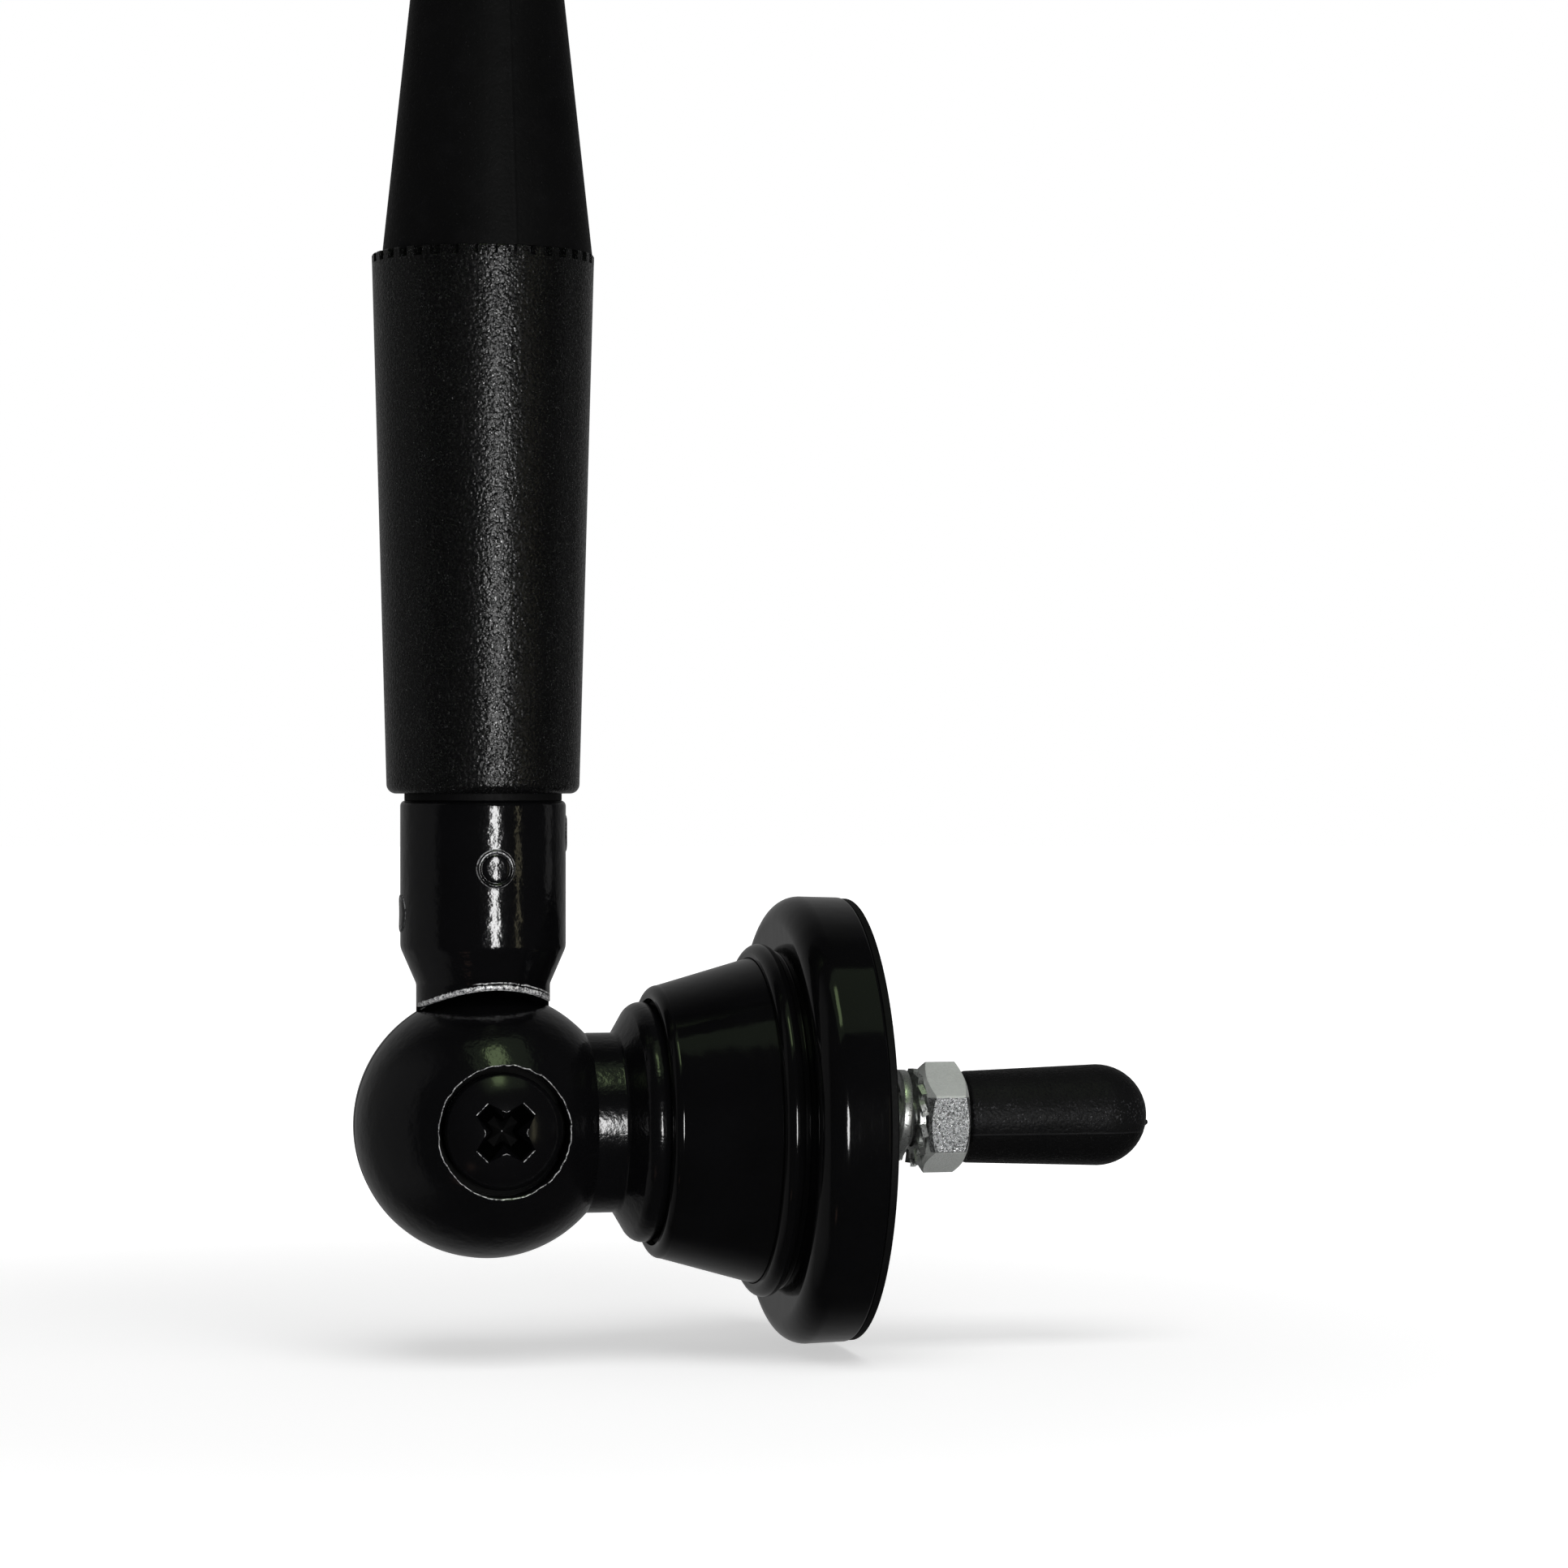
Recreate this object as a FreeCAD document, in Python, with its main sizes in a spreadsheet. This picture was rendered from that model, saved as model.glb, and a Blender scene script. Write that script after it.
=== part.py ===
# Rubber duck antenna on a swivel side-mount base.
# Millimetres. +Z points up along the mast, +X points out along the mounting stud, and the swivel's axis
# is parallel to Y. The origin is the centre of the base's back face, where it meets the panel.
# Every piece is drawn about the centre of the swivel ball, where the mast's axis, the stud's axis and the
# swivel's axis meet, and its Placement then moves it back by the distance from that centre to the back face.

import FreeCAD, Part
import math
import os
import Sketcher

os.makedirs("parts", exist_ok=True)
doc = FreeCAD.newDocument("swivel_antenna")
sheet = doc.addObject("Spreadsheet::Sheet", "Sizes")
vector = FreeCAD.Vector


class Size:
    """A length that keeps its number and the formula that gives it from the sheet's cells."""

    def __init__(self, number, formula):
        self.number = float(number)
        self.formula = formula

    def __add__(self, other):
        other = as_size(other)
        return Size(self.number + other.number, f"({self.formula} + {other.formula})")

    def __radd__(self, other):
        return as_size(other) + self

    def __sub__(self, other):
        other = as_size(other)
        return Size(self.number - other.number, f"({self.formula} - {other.formula})")

    def __rsub__(self, other):
        return as_size(other) - self

    def __mul__(self, other):
        other = as_size(other)
        return Size(self.number * other.number, f"({self.formula} * {other.formula})")

    def __rmul__(self, other):
        return as_size(other) * self

    def __truediv__(self, other):
        other = as_size(other)
        return Size(self.number / other.number, f"({self.formula} / {other.formula})")

    def __neg__(self):
        return Size(-self.number, f"(0 - {self.formula})")


def as_size(value):
    """A plain number as a Size, so that sizes and numbers mix in one sum."""
    return value if isinstance(value, Size) else Size(value, repr(float(value)))


def cell(name, value):
    """One driving dimension: a row of the sheet whose value cell carries the name as its alias."""
    cell.row += 1
    sheet.set(f"A{cell.row}", name)
    sheet.set(f"B{cell.row}", str(value))
    sheet.setAlias(f"B{cell.row}", name)
    return Size(value, f"Sizes.{name}")


cell.row = 0


# Clearances
fit_gap = cell("fit_gap", 0.1)
swing_gap = cell("swing_gap", 0.3)
seam_gap = cell("seam_gap", 0.3)
running_gap = cell("running_gap", 0.05)

# Swivel ball, split in the plane of the mast and the stud
ball_radius = cell("ball_radius", 13.92)
gate_flat_width = cell("gate_flat_width", 3.6)
gate_flat_angle = cell("gate_flat_angle", 21.7)
disc_radius = cell("disc_radius", 9.0)
disc_thickness = cell("disc_thickness", 1.2)
disc_sink = cell("disc_sink", 0.75)

# Pivot screw, whose head sits in a counterbore in the near half of the ball
counterbore_radius = cell("counterbore_radius", 6.74)
head_seat = cell("head_seat", 9.0)
head_radius = cell("head_radius", 6.0)
head_edge = cell("head_edge", 1.4)
head_dome = cell("head_dome", 1.9)
screw_radius = cell("screw_radius", 3.0)
screw_reach = cell("screw_reach", 8.5)
screw_hole_spare = cell("screw_hole_spare", 1.0)
recess_span = cell("recess_span", 7.72)
recess_wing = cell("recess_wing", 2.0)
recess_heart = cell("recess_heart", 3.05)
recess_depth = cell("recess_depth", 2.9)
recess_taper = cell("recess_taper", 0.45)
wave_washer_radius = cell("wave_washer_radius", 5.9)
wave_washer_thickness = cell("wave_washer_thickness", 0.9)

# Stem and ferrule of the mast's half, a little off the ball's centre
stem_offset = cell("stem_offset", 0.4)
stem_radius = cell("stem_radius", 6.975)
stem_height = cell("stem_height", 14.7)
ferrule_taper = cell("ferrule_taper", 4.0)
ferrule_radius = cell("ferrule_radius", 8.625)
ferrule_length = cell("ferrule_length", 15.1)
ferrule_wall = cell("ferrule_wall", 1.25)
ferrule_edge = cell("ferrule_edge", 0.6)
socket_floor = cell("socket_floor", 1.6)
pin_radius = cell("pin_radius", 1.9)
pin_sink = cell("pin_sink", 2.4)
pin_proud = cell("pin_proud", 0.28)
pin_chamfer = cell("pin_chamfer", 0.25)
pin_hole_spare = cell("pin_hole_spare", 0.3)
pin_drop_right = cell("pin_drop_right", 3.45)
pin_drop_front = cell("pin_drop_front", 7.0)
pin_drop_left = cell("pin_drop_left", 11.75)

# Steel plug that joins the ferrule to the grip
collar_radius = cell("collar_radius", 8.2)
collar_height = cell("collar_height", 0.7)
shank_radius = cell("shank_radius", 6.0)
shank_length = cell("shank_length", 32.0)
shank_groove = cell("shank_groove", 0.6)
shank_groove_width = cell("shank_groove_width", 2.0)
shank_groove_pitch = cell("shank_groove_pitch", 5.0)
rod_socket = cell("rod_socket", 16.0)

# Rubber grip
grip_foot_radius = cell("grip_foot_radius", 10.03)
grip_top_radius = cell("grip_top_radius", 11.58)
grip_length = cell("grip_length", 56.1)
grip_foot_round = cell("grip_foot_round", 1.0)
grip_top_round = cell("grip_top_round", 0.25)
grip_turn = cell("grip_turn", 6)
notch_count = cell("notch_count", 36)
notch_width = cell("notch_width", 0.95)
notch_height = cell("notch_height", 1.0)
notch_depth = cell("notch_depth", 0.95)
spigot_radius = cell("spigot_radius", 7.0)
spigot_length = cell("spigot_length", 8.0)

# Upper mast
mast_offset = cell("mast_offset", 0.45)
mast_foot_radius = cell("mast_foot_radius", 10.95)
mast_waist_radius = cell("mast_waist_radius", 4.95)
mast_waist_height = cell("mast_waist_height", 55.0)
mast_blend = cell("mast_blend", 14.0)
mast_blend_radius = cell("mast_blend_radius", 130.0)
mast_slim_radius = cell("mast_slim_radius", 4.25)
mast_tip_radius = cell("mast_tip_radius", 3.95)
mast_length = cell("mast_length", 259.0)

# Fibreglass core and the wire wound on it
rod_radius = cell("rod_radius", 1.6)
rod_end_wall = cell("rod_end_wall", 8.0)
wire_radius = cell("wire_radius", 0.4)
wire_pitch = cell("wire_pitch", 20.0)
wire_lead = cell("wire_lead", 1.0)
wire_end = cell("wire_end", 6.0)

# Neck, bell and spigot of the base's half
neck_radius = cell("neck_radius", 9.42)
neck_length = cell("neck_length", 13.4)
bell_rise = cell("bell_rise", 1.5)
bell_brow_radius = cell("bell_brow_radius", 11.9)
bell_brow_length = cell("bell_brow_length", 2.1)
bell_round = cell("bell_round", 1.75)
bell_back_radius = cell("bell_back_radius", 12.45)
bell_end_radius = cell("bell_end_radius", 12.2)
bell_length = cell("bell_length", 4.6)
tail_radius = cell("tail_radius", 6.0)
seal_thickness = cell("seal_thickness", 0.6)

# Cone
cone_mouth_radius = cell("cone_mouth_radius", 12.95)
cone_mouth_depth = cell("cone_mouth_depth", 1.4)
cone_small_radius = cell("cone_small_radius", 14.06)
cone_foot_radius = cell("cone_foot_radius", 17.1)
cone_length = cell("cone_length", 10.7)
cone_lip_round = cell("cone_lip_round", 1.0)
cone_skirt = cell("cone_skirt", 3.6)
cone_wall = cell("cone_wall", 2.3)
cone_floor = cell("cone_floor", 2.4)

# Insulating bush round the tail
bush_wall = cell("bush_wall", 1.4)

# Flange
flange_radius = cell("flange_radius", 23.6)
lip_radius = cell("lip_radius", 1.1)
lip_root = cell("lip_root", 0.5)
groove_width = cell("groove_width", 0.5)
shoulder_radius = cell("shoulder_radius", 2.7)
web_thickness = cell("web_thickness", 3.0)
back_recess_depth = cell("back_recess_depth", 3.3)
back_recess_radius = cell("back_recess_radius", 14.6)
gasket_thickness = cell("gasket_thickness", 0.8)
gasket_inset = cell("gasket_inset", 0.25)

# Nut that holds the stack of the base on the tail, and the washer under it
stack_washer_radius = cell("stack_washer_radius", 11.0)
stack_washer_thickness = cell("stack_washer_thickness", 0.6)
stack_nut_flats = cell("stack_nut_flats", 17.0)
stack_nut_height = cell("stack_nut_height", 2.4)
stack_nut_chamfer = cell("stack_nut_chamfer", 0.45)

# Mounting stud, its washers, its nut and its cap
stud_radius = cell("stud_radius", 3.0)
stud_sink = cell("stud_sink", 14.0)
stud_length = cell("stud_length", 28.0)
stud_chamfer = cell("stud_chamfer", 0.7)
washer_stand_off = cell("washer_stand_off", 4.75)
spring_washer_width = cell("spring_washer_width", 1.5)
spring_washer_thickness = cell("spring_washer_thickness", 1.0)
spring_washer_pitch = cell("spring_washer_pitch", 0.9)
spring_washer_turn = cell("spring_washer_turn", 0.97)
spring_washer_bore = cell("spring_washer_bore", 6.8)
spring_washer_tilt = cell("spring_washer_tilt", 3.5)
spring_washer_lift = cell("spring_washer_lift", 0.25)
tooth_washer_thickness = cell("tooth_washer_thickness", 0.6)
tooth_washer_ring = cell("tooth_washer_ring", 4.4)
tooth_washer_reach = cell("tooth_washer_reach", 5.2)
tooth_count = cell("tooth_count", 14)
tooth_width = cell("tooth_width", 1.2)
tooth_twist = cell("tooth_twist", 16)
nut_turn = cell("nut_turn", 5)
nut_flats = cell("nut_flats", 10.4)
nut_height = cell("nut_height", 4.6)
nut_chamfer = cell("nut_chamfer", 0.8)
cap_gap = cell("cap_gap", 0.3)
cap_mouth_radius = cell("cap_mouth_radius", 4.88)
cap_crown_radius = cell("cap_crown_radius", 5.42)
cap_length = cell("cap_length", 14.8)
cap_bore_spare = cell("cap_bore_spare", 1.0)
cap_nib_radius = cell("cap_nib_radius", 0.35)
cap_nib_drop = cell("cap_nib_drop", 0.75)

# Stations along the mast, counted up from the swivel's centre
ferrule_foot = stem_height + ferrule_taper
ferrule_top = ferrule_foot + ferrule_length
plug_foot = ferrule_foot + socket_floor
grip_foot = ferrule_top + collar_height
grip_top = grip_foot + grip_length
shank_top = grip_foot + shank_length
waist_top = grip_top + mast_waist_height
blend_top = waist_top + mast_blend
mast_top = grip_top + mast_length
rod_foot = shank_top - rod_socket
rod_top = mast_top - rod_end_wall
coil_radius = rod_radius + fit_gap + wire_radius
core_bore_radius = coil_radius + wire_radius + fit_gap

# Stations along the base, counted out from the swivel's centre
brow_start = neck_length + bell_rise
bell_end = neck_length + bell_length
cone_seat = bell_end + seal_thickness
cone_start = cone_seat - cone_mouth_depth
cone_foot = cone_start + cone_length
cone_end = cone_foot + cone_skirt
lip_start = cone_foot + fit_gap
lip_end = lip_start + 2 * lip_radius
groove_end = lip_end + groove_width
rim_front = groove_end + shoulder_radius
web_back = cone_end + web_thickness
rim_back = web_back + back_recess_depth
face_reach = rim_back + gasket_thickness
stack_nut_front = web_back + stack_washer_thickness
tail_end = stack_nut_front + stack_nut_height
washer_front = face_reach + washer_stand_off
washer_lean = math.radians(spring_washer_tilt.number)
spring_washer_reach = spring_washer_bore / 2 + spring_washer_width
spring_washer_rise = spring_washer_pitch * 0.75 + spring_washer_reach * math.sin(washer_lean)
spring_washer_height = spring_washer_thickness + spring_washer_rise
tooth_lean = math.radians(tooth_twist.number)
tooth_rise = tooth_washer_thickness * (math.cos(tooth_lean) / 2) + tooth_width * (math.sin(tooth_lean) / 2)
tooth_middle = washer_front + spring_washer_height + running_gap + tooth_rise
tooth_washer_front = tooth_middle - tooth_washer_thickness / 2
nut_front = tooth_middle + tooth_rise + running_gap
cap_front = nut_front + nut_height + cap_gap
cap_crown = cap_front + cap_length

# Turnings that put a round solid's own axis along another direction
ALONG_X = FreeCAD.Rotation(vector(0, 1, 0), 90)
AGAINST_X = FreeCAD.Rotation(vector(0, 1, 0), -90)
ALONG_Y = FreeCAD.Rotation(vector(1, 0, 0), -90)
AGAINST_Y = FreeCAD.Rotation(vector(1, 0, 0), 90)
ALONG_Z = FreeCAD.Rotation()


def place(item, at=(0, 0, 0), turn=ALONG_Z):
    """Puts an object at a point given in sizes, with its own axis turned."""
    at = [as_size(value) for value in at]
    item.Placement = FreeCAD.Placement(vector(*[value.number for value in at]), turn)
    for letter, value in zip("xyz", at):
        item.setExpression(f"Placement.Base.{letter}", value.formula)
    return item


def bind(item, **sizes):
    """Sets properties of an object from sizes, each with its formula."""
    for name, value in sizes.items():
        item.setExpression(name, as_size(value).formula)
    return item


def cylinder(label, radius, length, at=(0, 0, 0), turn=ALONG_Z):
    """A round bar from a point along its turned axis."""
    bar = doc.addObject("Part::Cylinder", label)
    bind(bar, Radius=radius, Height=length)
    return place(bar, at, turn)


def ball(label, radius, at=(0, 0, 0), turn=ALONG_Z, half=False):
    """A sphere, or the half of it that lies ahead along its turned axis."""
    sphere = doc.addObject("Part::Sphere", label)
    bind(sphere, Radius=radius)
    if half:
        sphere.Angle1 = 0
    return place(sphere, at, turn)


def fused(label, *pieces):
    """Several solids joined into one."""
    union = doc.addObject("Part::MultiFuse", label)
    union.Shapes = list(pieces)
    return union


def cut(label, base, *tools):
    """A solid with one or more tools taken out of it."""
    tool = tools[0] if len(tools) == 1 else fused(f"{label}_tools", *tools)
    result = doc.addObject("Part::Cut", label)
    result.Base = base
    result.Tool = tool
    return result


def common(label, base, tool):
    """What two solids share."""
    result = doc.addObject("Part::Common", label)
    result.Base = base
    result.Tool = tool
    return result


def origin_plane(body, role):
    """One of a body's own base planes."""
    return next(item for item in body.Origin.OriginFeatures if item.Role == role)


def arc_between(start, end, radius):
    """The arc from start to end with a radius. A positive radius bulges to the left of the way to end."""
    chord = end - start
    half = chord.Length / 2
    left = vector(-chord.y, chord.x, 0).normalize()
    reach = abs(radius) - math.sqrt(max(radius * radius - half * half, 0))
    middle = (start + end) * 0.5 + left * math.copysign(reach, radius)
    return Part.Arc(start, middle, end)


def sketch_outline(body, plane, corners, label):
    """A closed outline whose corners are (across, up) sizes, each tied to the sketch's origin.

    A corner with a third value starts an arc of that radius to the next corner, with the sign as in
    arc_between. The others start a straight line.
    """
    sketch = body.newObject("Sketcher::SketchObject", label)
    sketch.AttachmentSupport = [(origin_plane(body, plane), "")]
    sketch.MapMode = "FlatFace"
    spots = [(as_size(corner[0]), as_size(corner[1])) for corner in corners]
    radii = [corner[2] if len(corner) > 2 else None for corner in corners]
    points = [vector(across.number, up.number, 0) for across, up in spots]
    for index, radius in enumerate(radii):
        start = points[index]
        end = points[(index + 1) % len(points)]
        if radius is None:
            sketch.addGeometry(Part.LineSegment(start, end), False)
            continue
        sketch.addGeometry(arc_between(start, end, as_size(radius).number), False)
    # An arc runs anticlockwise in a sketch, so one that was drawn clockwise has its ends swapped.
    first = [2 if radius is not None and as_size(radius).number > 0 else 1 for radius in radii]
    for index in range(len(points)):
        following = (index + 1) % len(points)
        ends = (index, 3 - first[index], following, first[following])
        sketch.addConstraint(Sketcher.Constraint("Coincident", *ends))
    for index, (across, up) in enumerate(spots):
        for kind, value in (("DistanceX", across), ("DistanceY", up)):
            rule = sketch.addConstraint(
                Sketcher.Constraint(kind, -1, 1, index, first[index], value.number)
            )
            sketch.setExpression(f"Constraints[{rule}]", value.formula)
        if radii[index] is not None:
            radius = as_size(radii[index])
            plus = radius if radius.number > 0 else -radius
            rule = sketch.addConstraint(Sketcher.Constraint("Radius", index, plus.number))
            sketch.setExpression(f"Constraints[{rule}]", plus.formula)
    return sketch


def turned(label, about, corners):
    """A turned piece: its half outline carried once round the mast's, the stud's or the screw's axis.

    Corners are (distance from the axis, station along it) for Z and Y, and (station, distance) for X.
    """
    plane, axis = {
        "Z": ("XZ_Plane", "V_Axis"),
        "X": ("XZ_Plane", "H_Axis"),
        "Y": ("XY_Plane", "V_Axis"),
    }[about]
    body = doc.addObject("PartDesign::Body", label)
    sketch = sketch_outline(body, plane, corners, f"{label}_outline")
    spin = body.newObject("PartDesign::Revolution", f"{label}_turning")
    spin.Profile = sketch
    spin.ReferenceAxis = (sketch, [axis])
    spin.Angle = 360
    sketch.Visibility = False
    return body


def hex_blank(label, flats, start, height, chamfer, turn_angle):
    """A hexagonal bar end with both its corners turned off at thirty degrees."""
    prism = doc.addObject("Part::Prism", f"{label}_hexagon")
    prism.Polygon = 6
    bind(prism, Circumradius=flats / math.sqrt(3), Height=height)
    spin = ALONG_X.multiply(FreeCAD.Rotation(vector(0, 0, 1), as_size(turn_angle).number))
    place(prism, (start, 0, 0), spin)
    corner = flats / math.sqrt(3) + fit_gap
    fall = chamfer * math.sqrt(3)
    envelope = turned(
        f"{label}_envelope",
        "X",
        [
            (start, 0),
            (start, corner - fall),
            (start + chamfer, corner),
            (start + height - chamfer, corner),
            (start + height, corner - fall),
            (start + height, 0),
        ],
    )
    return common(f"{label}_blank", prism, envelope)


nodes = {}


def finish(item, node, at=(0, 0, 0), turn=ALONG_Z):
    """Names a finished sub-part and moves it so that the base's back face lies at the origin."""
    item.Label = node
    place(item, (as_size(at[0]) - face_reach, at[1], at[2]), turn)
    nodes[node] = item
    return item


# Mast

# Ferrule and stem, turned, then joined to the far half of the ball. On the near side the stem ends in a
# saddle, an arc round the swivel's axis that the near half swings under. A mouth for each pin goes through
# the ferrule's wall.
ferrule = turned(
    "ferrule",
    "Z",
    [
        (0, stem_height - stem_radius),
        (stem_radius, stem_height - stem_radius),
        (stem_radius, stem_height),
        (ferrule_radius, ferrule_foot),
        (ferrule_radius, ferrule_top - ferrule_edge, -ferrule_edge),
        (ferrule_radius - ferrule_edge, ferrule_top),
        (ferrule_radius - ferrule_wall, ferrule_top),
        (ferrule_radius - ferrule_wall, plug_foot),
        (0, plug_foot),
    ],
)
place(ferrule, (-stem_offset, 0, 0))

pins = {
    "right": ((1, 0), ALONG_X, pin_drop_right),
    "front": ((0, -1), AGAINST_Y, pin_drop_front),
    "left": ((-1, 0), AGAINST_X, pin_drop_left),
}


def pin_tool(label, radius, spare, side, turn, drop):
    """A bar along a pin's own line, from the pin's inner end outwards past the ferrule."""
    inner = ferrule_radius - pin_sink - spare
    at = (side[0] * inner - stem_offset, side[1] * inner, ferrule_top - drop)
    return cylinder(label, radius, pin_sink + spare + pin_radius, at, turn)


def pin_holes(label):
    """The three cross holes, the same in the ferrule and in the plug."""
    return [
        pin_tool(f"{label}_{name}_hole", pin_radius + fit_gap, pin_hole_spare, *pin)
        for name, pin in pins.items()
    ]


near_space = cylinder(
    "near_space",
    ball_radius + swing_gap,
    ball_radius + swing_gap + seam_gap,
    (0, seam_gap / 2, 0),
    AGAINST_Y,
)
screw_bore = cylinder(
    "screw_bore", screw_radius + running_gap, screw_reach + screw_hole_spare, (0, 0, 0), ALONG_Y
)
far_disc_pocket = cylinder(
    "far_disc_pocket",
    disc_radius + swing_gap,
    disc_thickness - disc_sink + seam_gap / 2,
    (0, 0, 0),
    ALONG_Y,
)
mast_knuckle = cut(
    "mast_knuckle_cut",
    fused("mast_knuckle_blank", ferrule, ball("far_ball", ball_radius)),
    near_space,
    screw_bore,
    far_disc_pocket,
    *pin_holes("ferrule"),
)
finish(mast_knuckle, "mast_knuckle")

# Three locking pins, at the right, the front and the left, each a step lower
pin_length = pin_sink + pin_proud
for name, (side, turn, drop) in pins.items():
    pin = turned(
        f"pin_{name}",
        "Z",
        [
            (0, 0),
            (pin_radius, 0),
            (pin_radius, pin_length - pin_chamfer),
            (pin_radius - pin_chamfer, pin_length),
            (0, pin_length),
        ],
    )
    inner = ferrule_radius - pin_sink
    at = (side[0] * inner - stem_offset, side[1] * inner, ferrule_top - drop)
    finish(pin, f"locking_pin_{name}", at, turn)

# Steel plug: a spigot in the ferrule, a collar between ferrule and grip, and a ribbed shank in the grip
plug_radius = ferrule_radius - ferrule_wall - fit_gap
shank_outline = []
for ring in range(4):
    base = grip_foot + shank_groove_pitch * (ring + 1)
    shank_outline += [
        (shank_radius, base),
        (shank_radius - shank_groove, base),
        (shank_radius - shank_groove, base + shank_groove_width),
        (shank_radius, base + shank_groove_width),
    ]
plug = turned(
    "plug",
    "Z",
    [
        (0, plug_foot),
        (plug_radius, plug_foot),
        (plug_radius, ferrule_top),
        (collar_radius, ferrule_top),
        (collar_radius, grip_foot),
        (shank_radius, grip_foot),
        *shank_outline,
        (shank_radius, shank_top),
        (rod_radius + fit_gap, shank_top),
        (rod_radius + fit_gap, rod_foot),
        (0, rod_foot),
    ],
)
place(plug, (-stem_offset, 0, 0))
finish(cut("mast_plug_cut", plug, *pin_holes("plug")), "mast_plug")

# Grip: a tapered rubber sleeve, widest at its top, with a castellated rim
grip = turned(
    "grip",
    "Z",
    [
        (shank_radius + fit_gap, grip_foot),
        (grip_foot_radius - grip_foot_round, grip_foot, -grip_foot_round),
        (grip_foot_radius, grip_foot + grip_foot_round),
        (grip_top_radius, grip_top - grip_top_round, -grip_top_round),
        (grip_top_radius - grip_top_round, grip_top),
        (spigot_radius + fit_gap, grip_top),
        (spigot_radius + fit_gap, grip_top - spigot_length),
        (core_bore_radius, grip_top - spigot_length),
        (core_bore_radius, shank_top),
        (shank_radius + fit_gap, shank_top),
    ],
)
notch_sketch = sketch_outline(
    grip,
    "XY_Plane",
    [
        (grip_top_radius - notch_depth, -notch_width / 2),
        (grip_top_radius + notch_depth, -notch_width / 2),
        (grip_top_radius + notch_depth, notch_width / 2),
        (grip_top_radius - notch_depth, notch_width / 2),
    ],
    "notch_outline",
)
notch_sketch.setExpression("AttachmentOffset.Base.z", grip_top.formula)
notch = grip.newObject("PartDesign::Pocket", "notch")
notch.Profile = notch_sketch
bind(notch, Length=notch_height)
notch_ring = grip.newObject("PartDesign::PolarPattern", "notch_ring")
notch_ring.Originals = [notch]
notch_ring.Axis = (origin_plane(grip, "Z_Axis"), [""])
notch_ring.Angle = 360
bind(notch_ring, Occurrences=notch_count)
grip.Tip = notch_ring
grip_spin = FreeCAD.Rotation(vector(0, 0, 1), grip_turn.number)
finish(grip, "grip_sleeve", (-stem_offset, 0, 0), grip_spin)

# Upper mast: a cone that narrows to a slim whip with a round tip. Its skin stands a little off the grip's
# axis, and its spigot and bore stay on it.
mast_skin = turned(
    "mast_skin",
    "Z",
    [
        (0, grip_top),
        (mast_foot_radius, grip_top),
        (mast_waist_radius, waist_top, mast_blend_radius),
        (mast_slim_radius, blend_top),
        (mast_tip_radius, mast_top - mast_tip_radius, -mast_tip_radius),
        (0, mast_top),
    ],
)
place(mast_skin, (mast_offset - stem_offset, 0, 0))
mast_spigot = cylinder(
    "mast_spigot", spigot_radius, spigot_length, (-stem_offset, 0, grip_top - spigot_length + fit_gap)
)
mast_bore = cylinder(
    "mast_bore",
    core_bore_radius,
    rod_top - grip_top + spigot_length,
    (-stem_offset, 0, grip_top - spigot_length),
)
upper_mast = cut("upper_mast_cut", fused("upper_mast_blank", mast_skin, mast_spigot), mast_bore)
finish(upper_mast, "upper_mast")

# Fibreglass core
core = turned(
    "core",
    "Z",
    [(0, rod_foot), (rod_radius, rod_foot), (rod_radius, rod_top), (0, rod_top)],
)
finish(core, "core_rod", (-stem_offset, 0, 0))

# Radiator: one copper wire wound up the core, from the plug to just under the tip
helix = doc.addObject("Part::Helix", "wire_path")
wire_start = shank_top + wire_radius + wire_lead
bind(helix, Pitch=wire_pitch, Height=rod_top - wire_end - wire_start, Radius=coil_radius)
place(helix, (0, 0, wire_start))
wire_section = doc.addObject("Part::Circle", "wire_section")
bind(wire_section, Radius=wire_radius)
climb = math.degrees(math.atan(wire_pitch.number / (2 * math.pi * coil_radius.number)))
place(wire_section, (coil_radius, 0, wire_start), FreeCAD.Rotation(vector(1, 0, 0), climb - 90))
wire = doc.addObject("Part::Sweep", "wire")
wire.Sections = [wire_section]
wire.Spine = (helix, [])
wire.Solid = True
wire.Frenet = True
finish(wire, "radiator_wire", (-stem_offset, 0, 0))

# Swivel

# Near half of the ball with its neck, its bell and the tail that carries the base. The neck ends in a
# saddle that the far half swings under.
neck = turned(
    "neck",
    "X",
    [
        (neck_length - neck_radius, 0),
        (neck_length - neck_radius, neck_radius),
        (neck_length, neck_radius),
        (brow_start, bell_brow_radius, bell_round),
        (brow_start + bell_brow_length, bell_back_radius),
        (bell_end, bell_end_radius),
        (bell_end, tail_radius),
        (tail_end, tail_radius),
        (tail_end, 0),
    ],
)
far_space = ball("far_space", ball_radius + swing_gap, (0, -seam_gap / 2, 0), ALONG_Y, half=True)
counterbore = cylinder("counterbore", counterbore_radius, ball_radius, (0, -head_seat, 0), AGAINST_Y)
screw_pass = cylinder("screw_pass", screw_radius + swing_gap, ball_radius, (0, 0, 0), AGAINST_Y)
near_disc_pocket = cylinder(
    "near_disc_pocket", disc_radius + fit_gap, disc_sink + seam_gap / 2, (0, 0, 0), AGAINST_Y
)
stud_hole = cylinder(
    "stud_hole", stud_radius + fit_gap, stud_sink, (tail_end - stud_sink, 0, 0), ALONG_X
)
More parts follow.
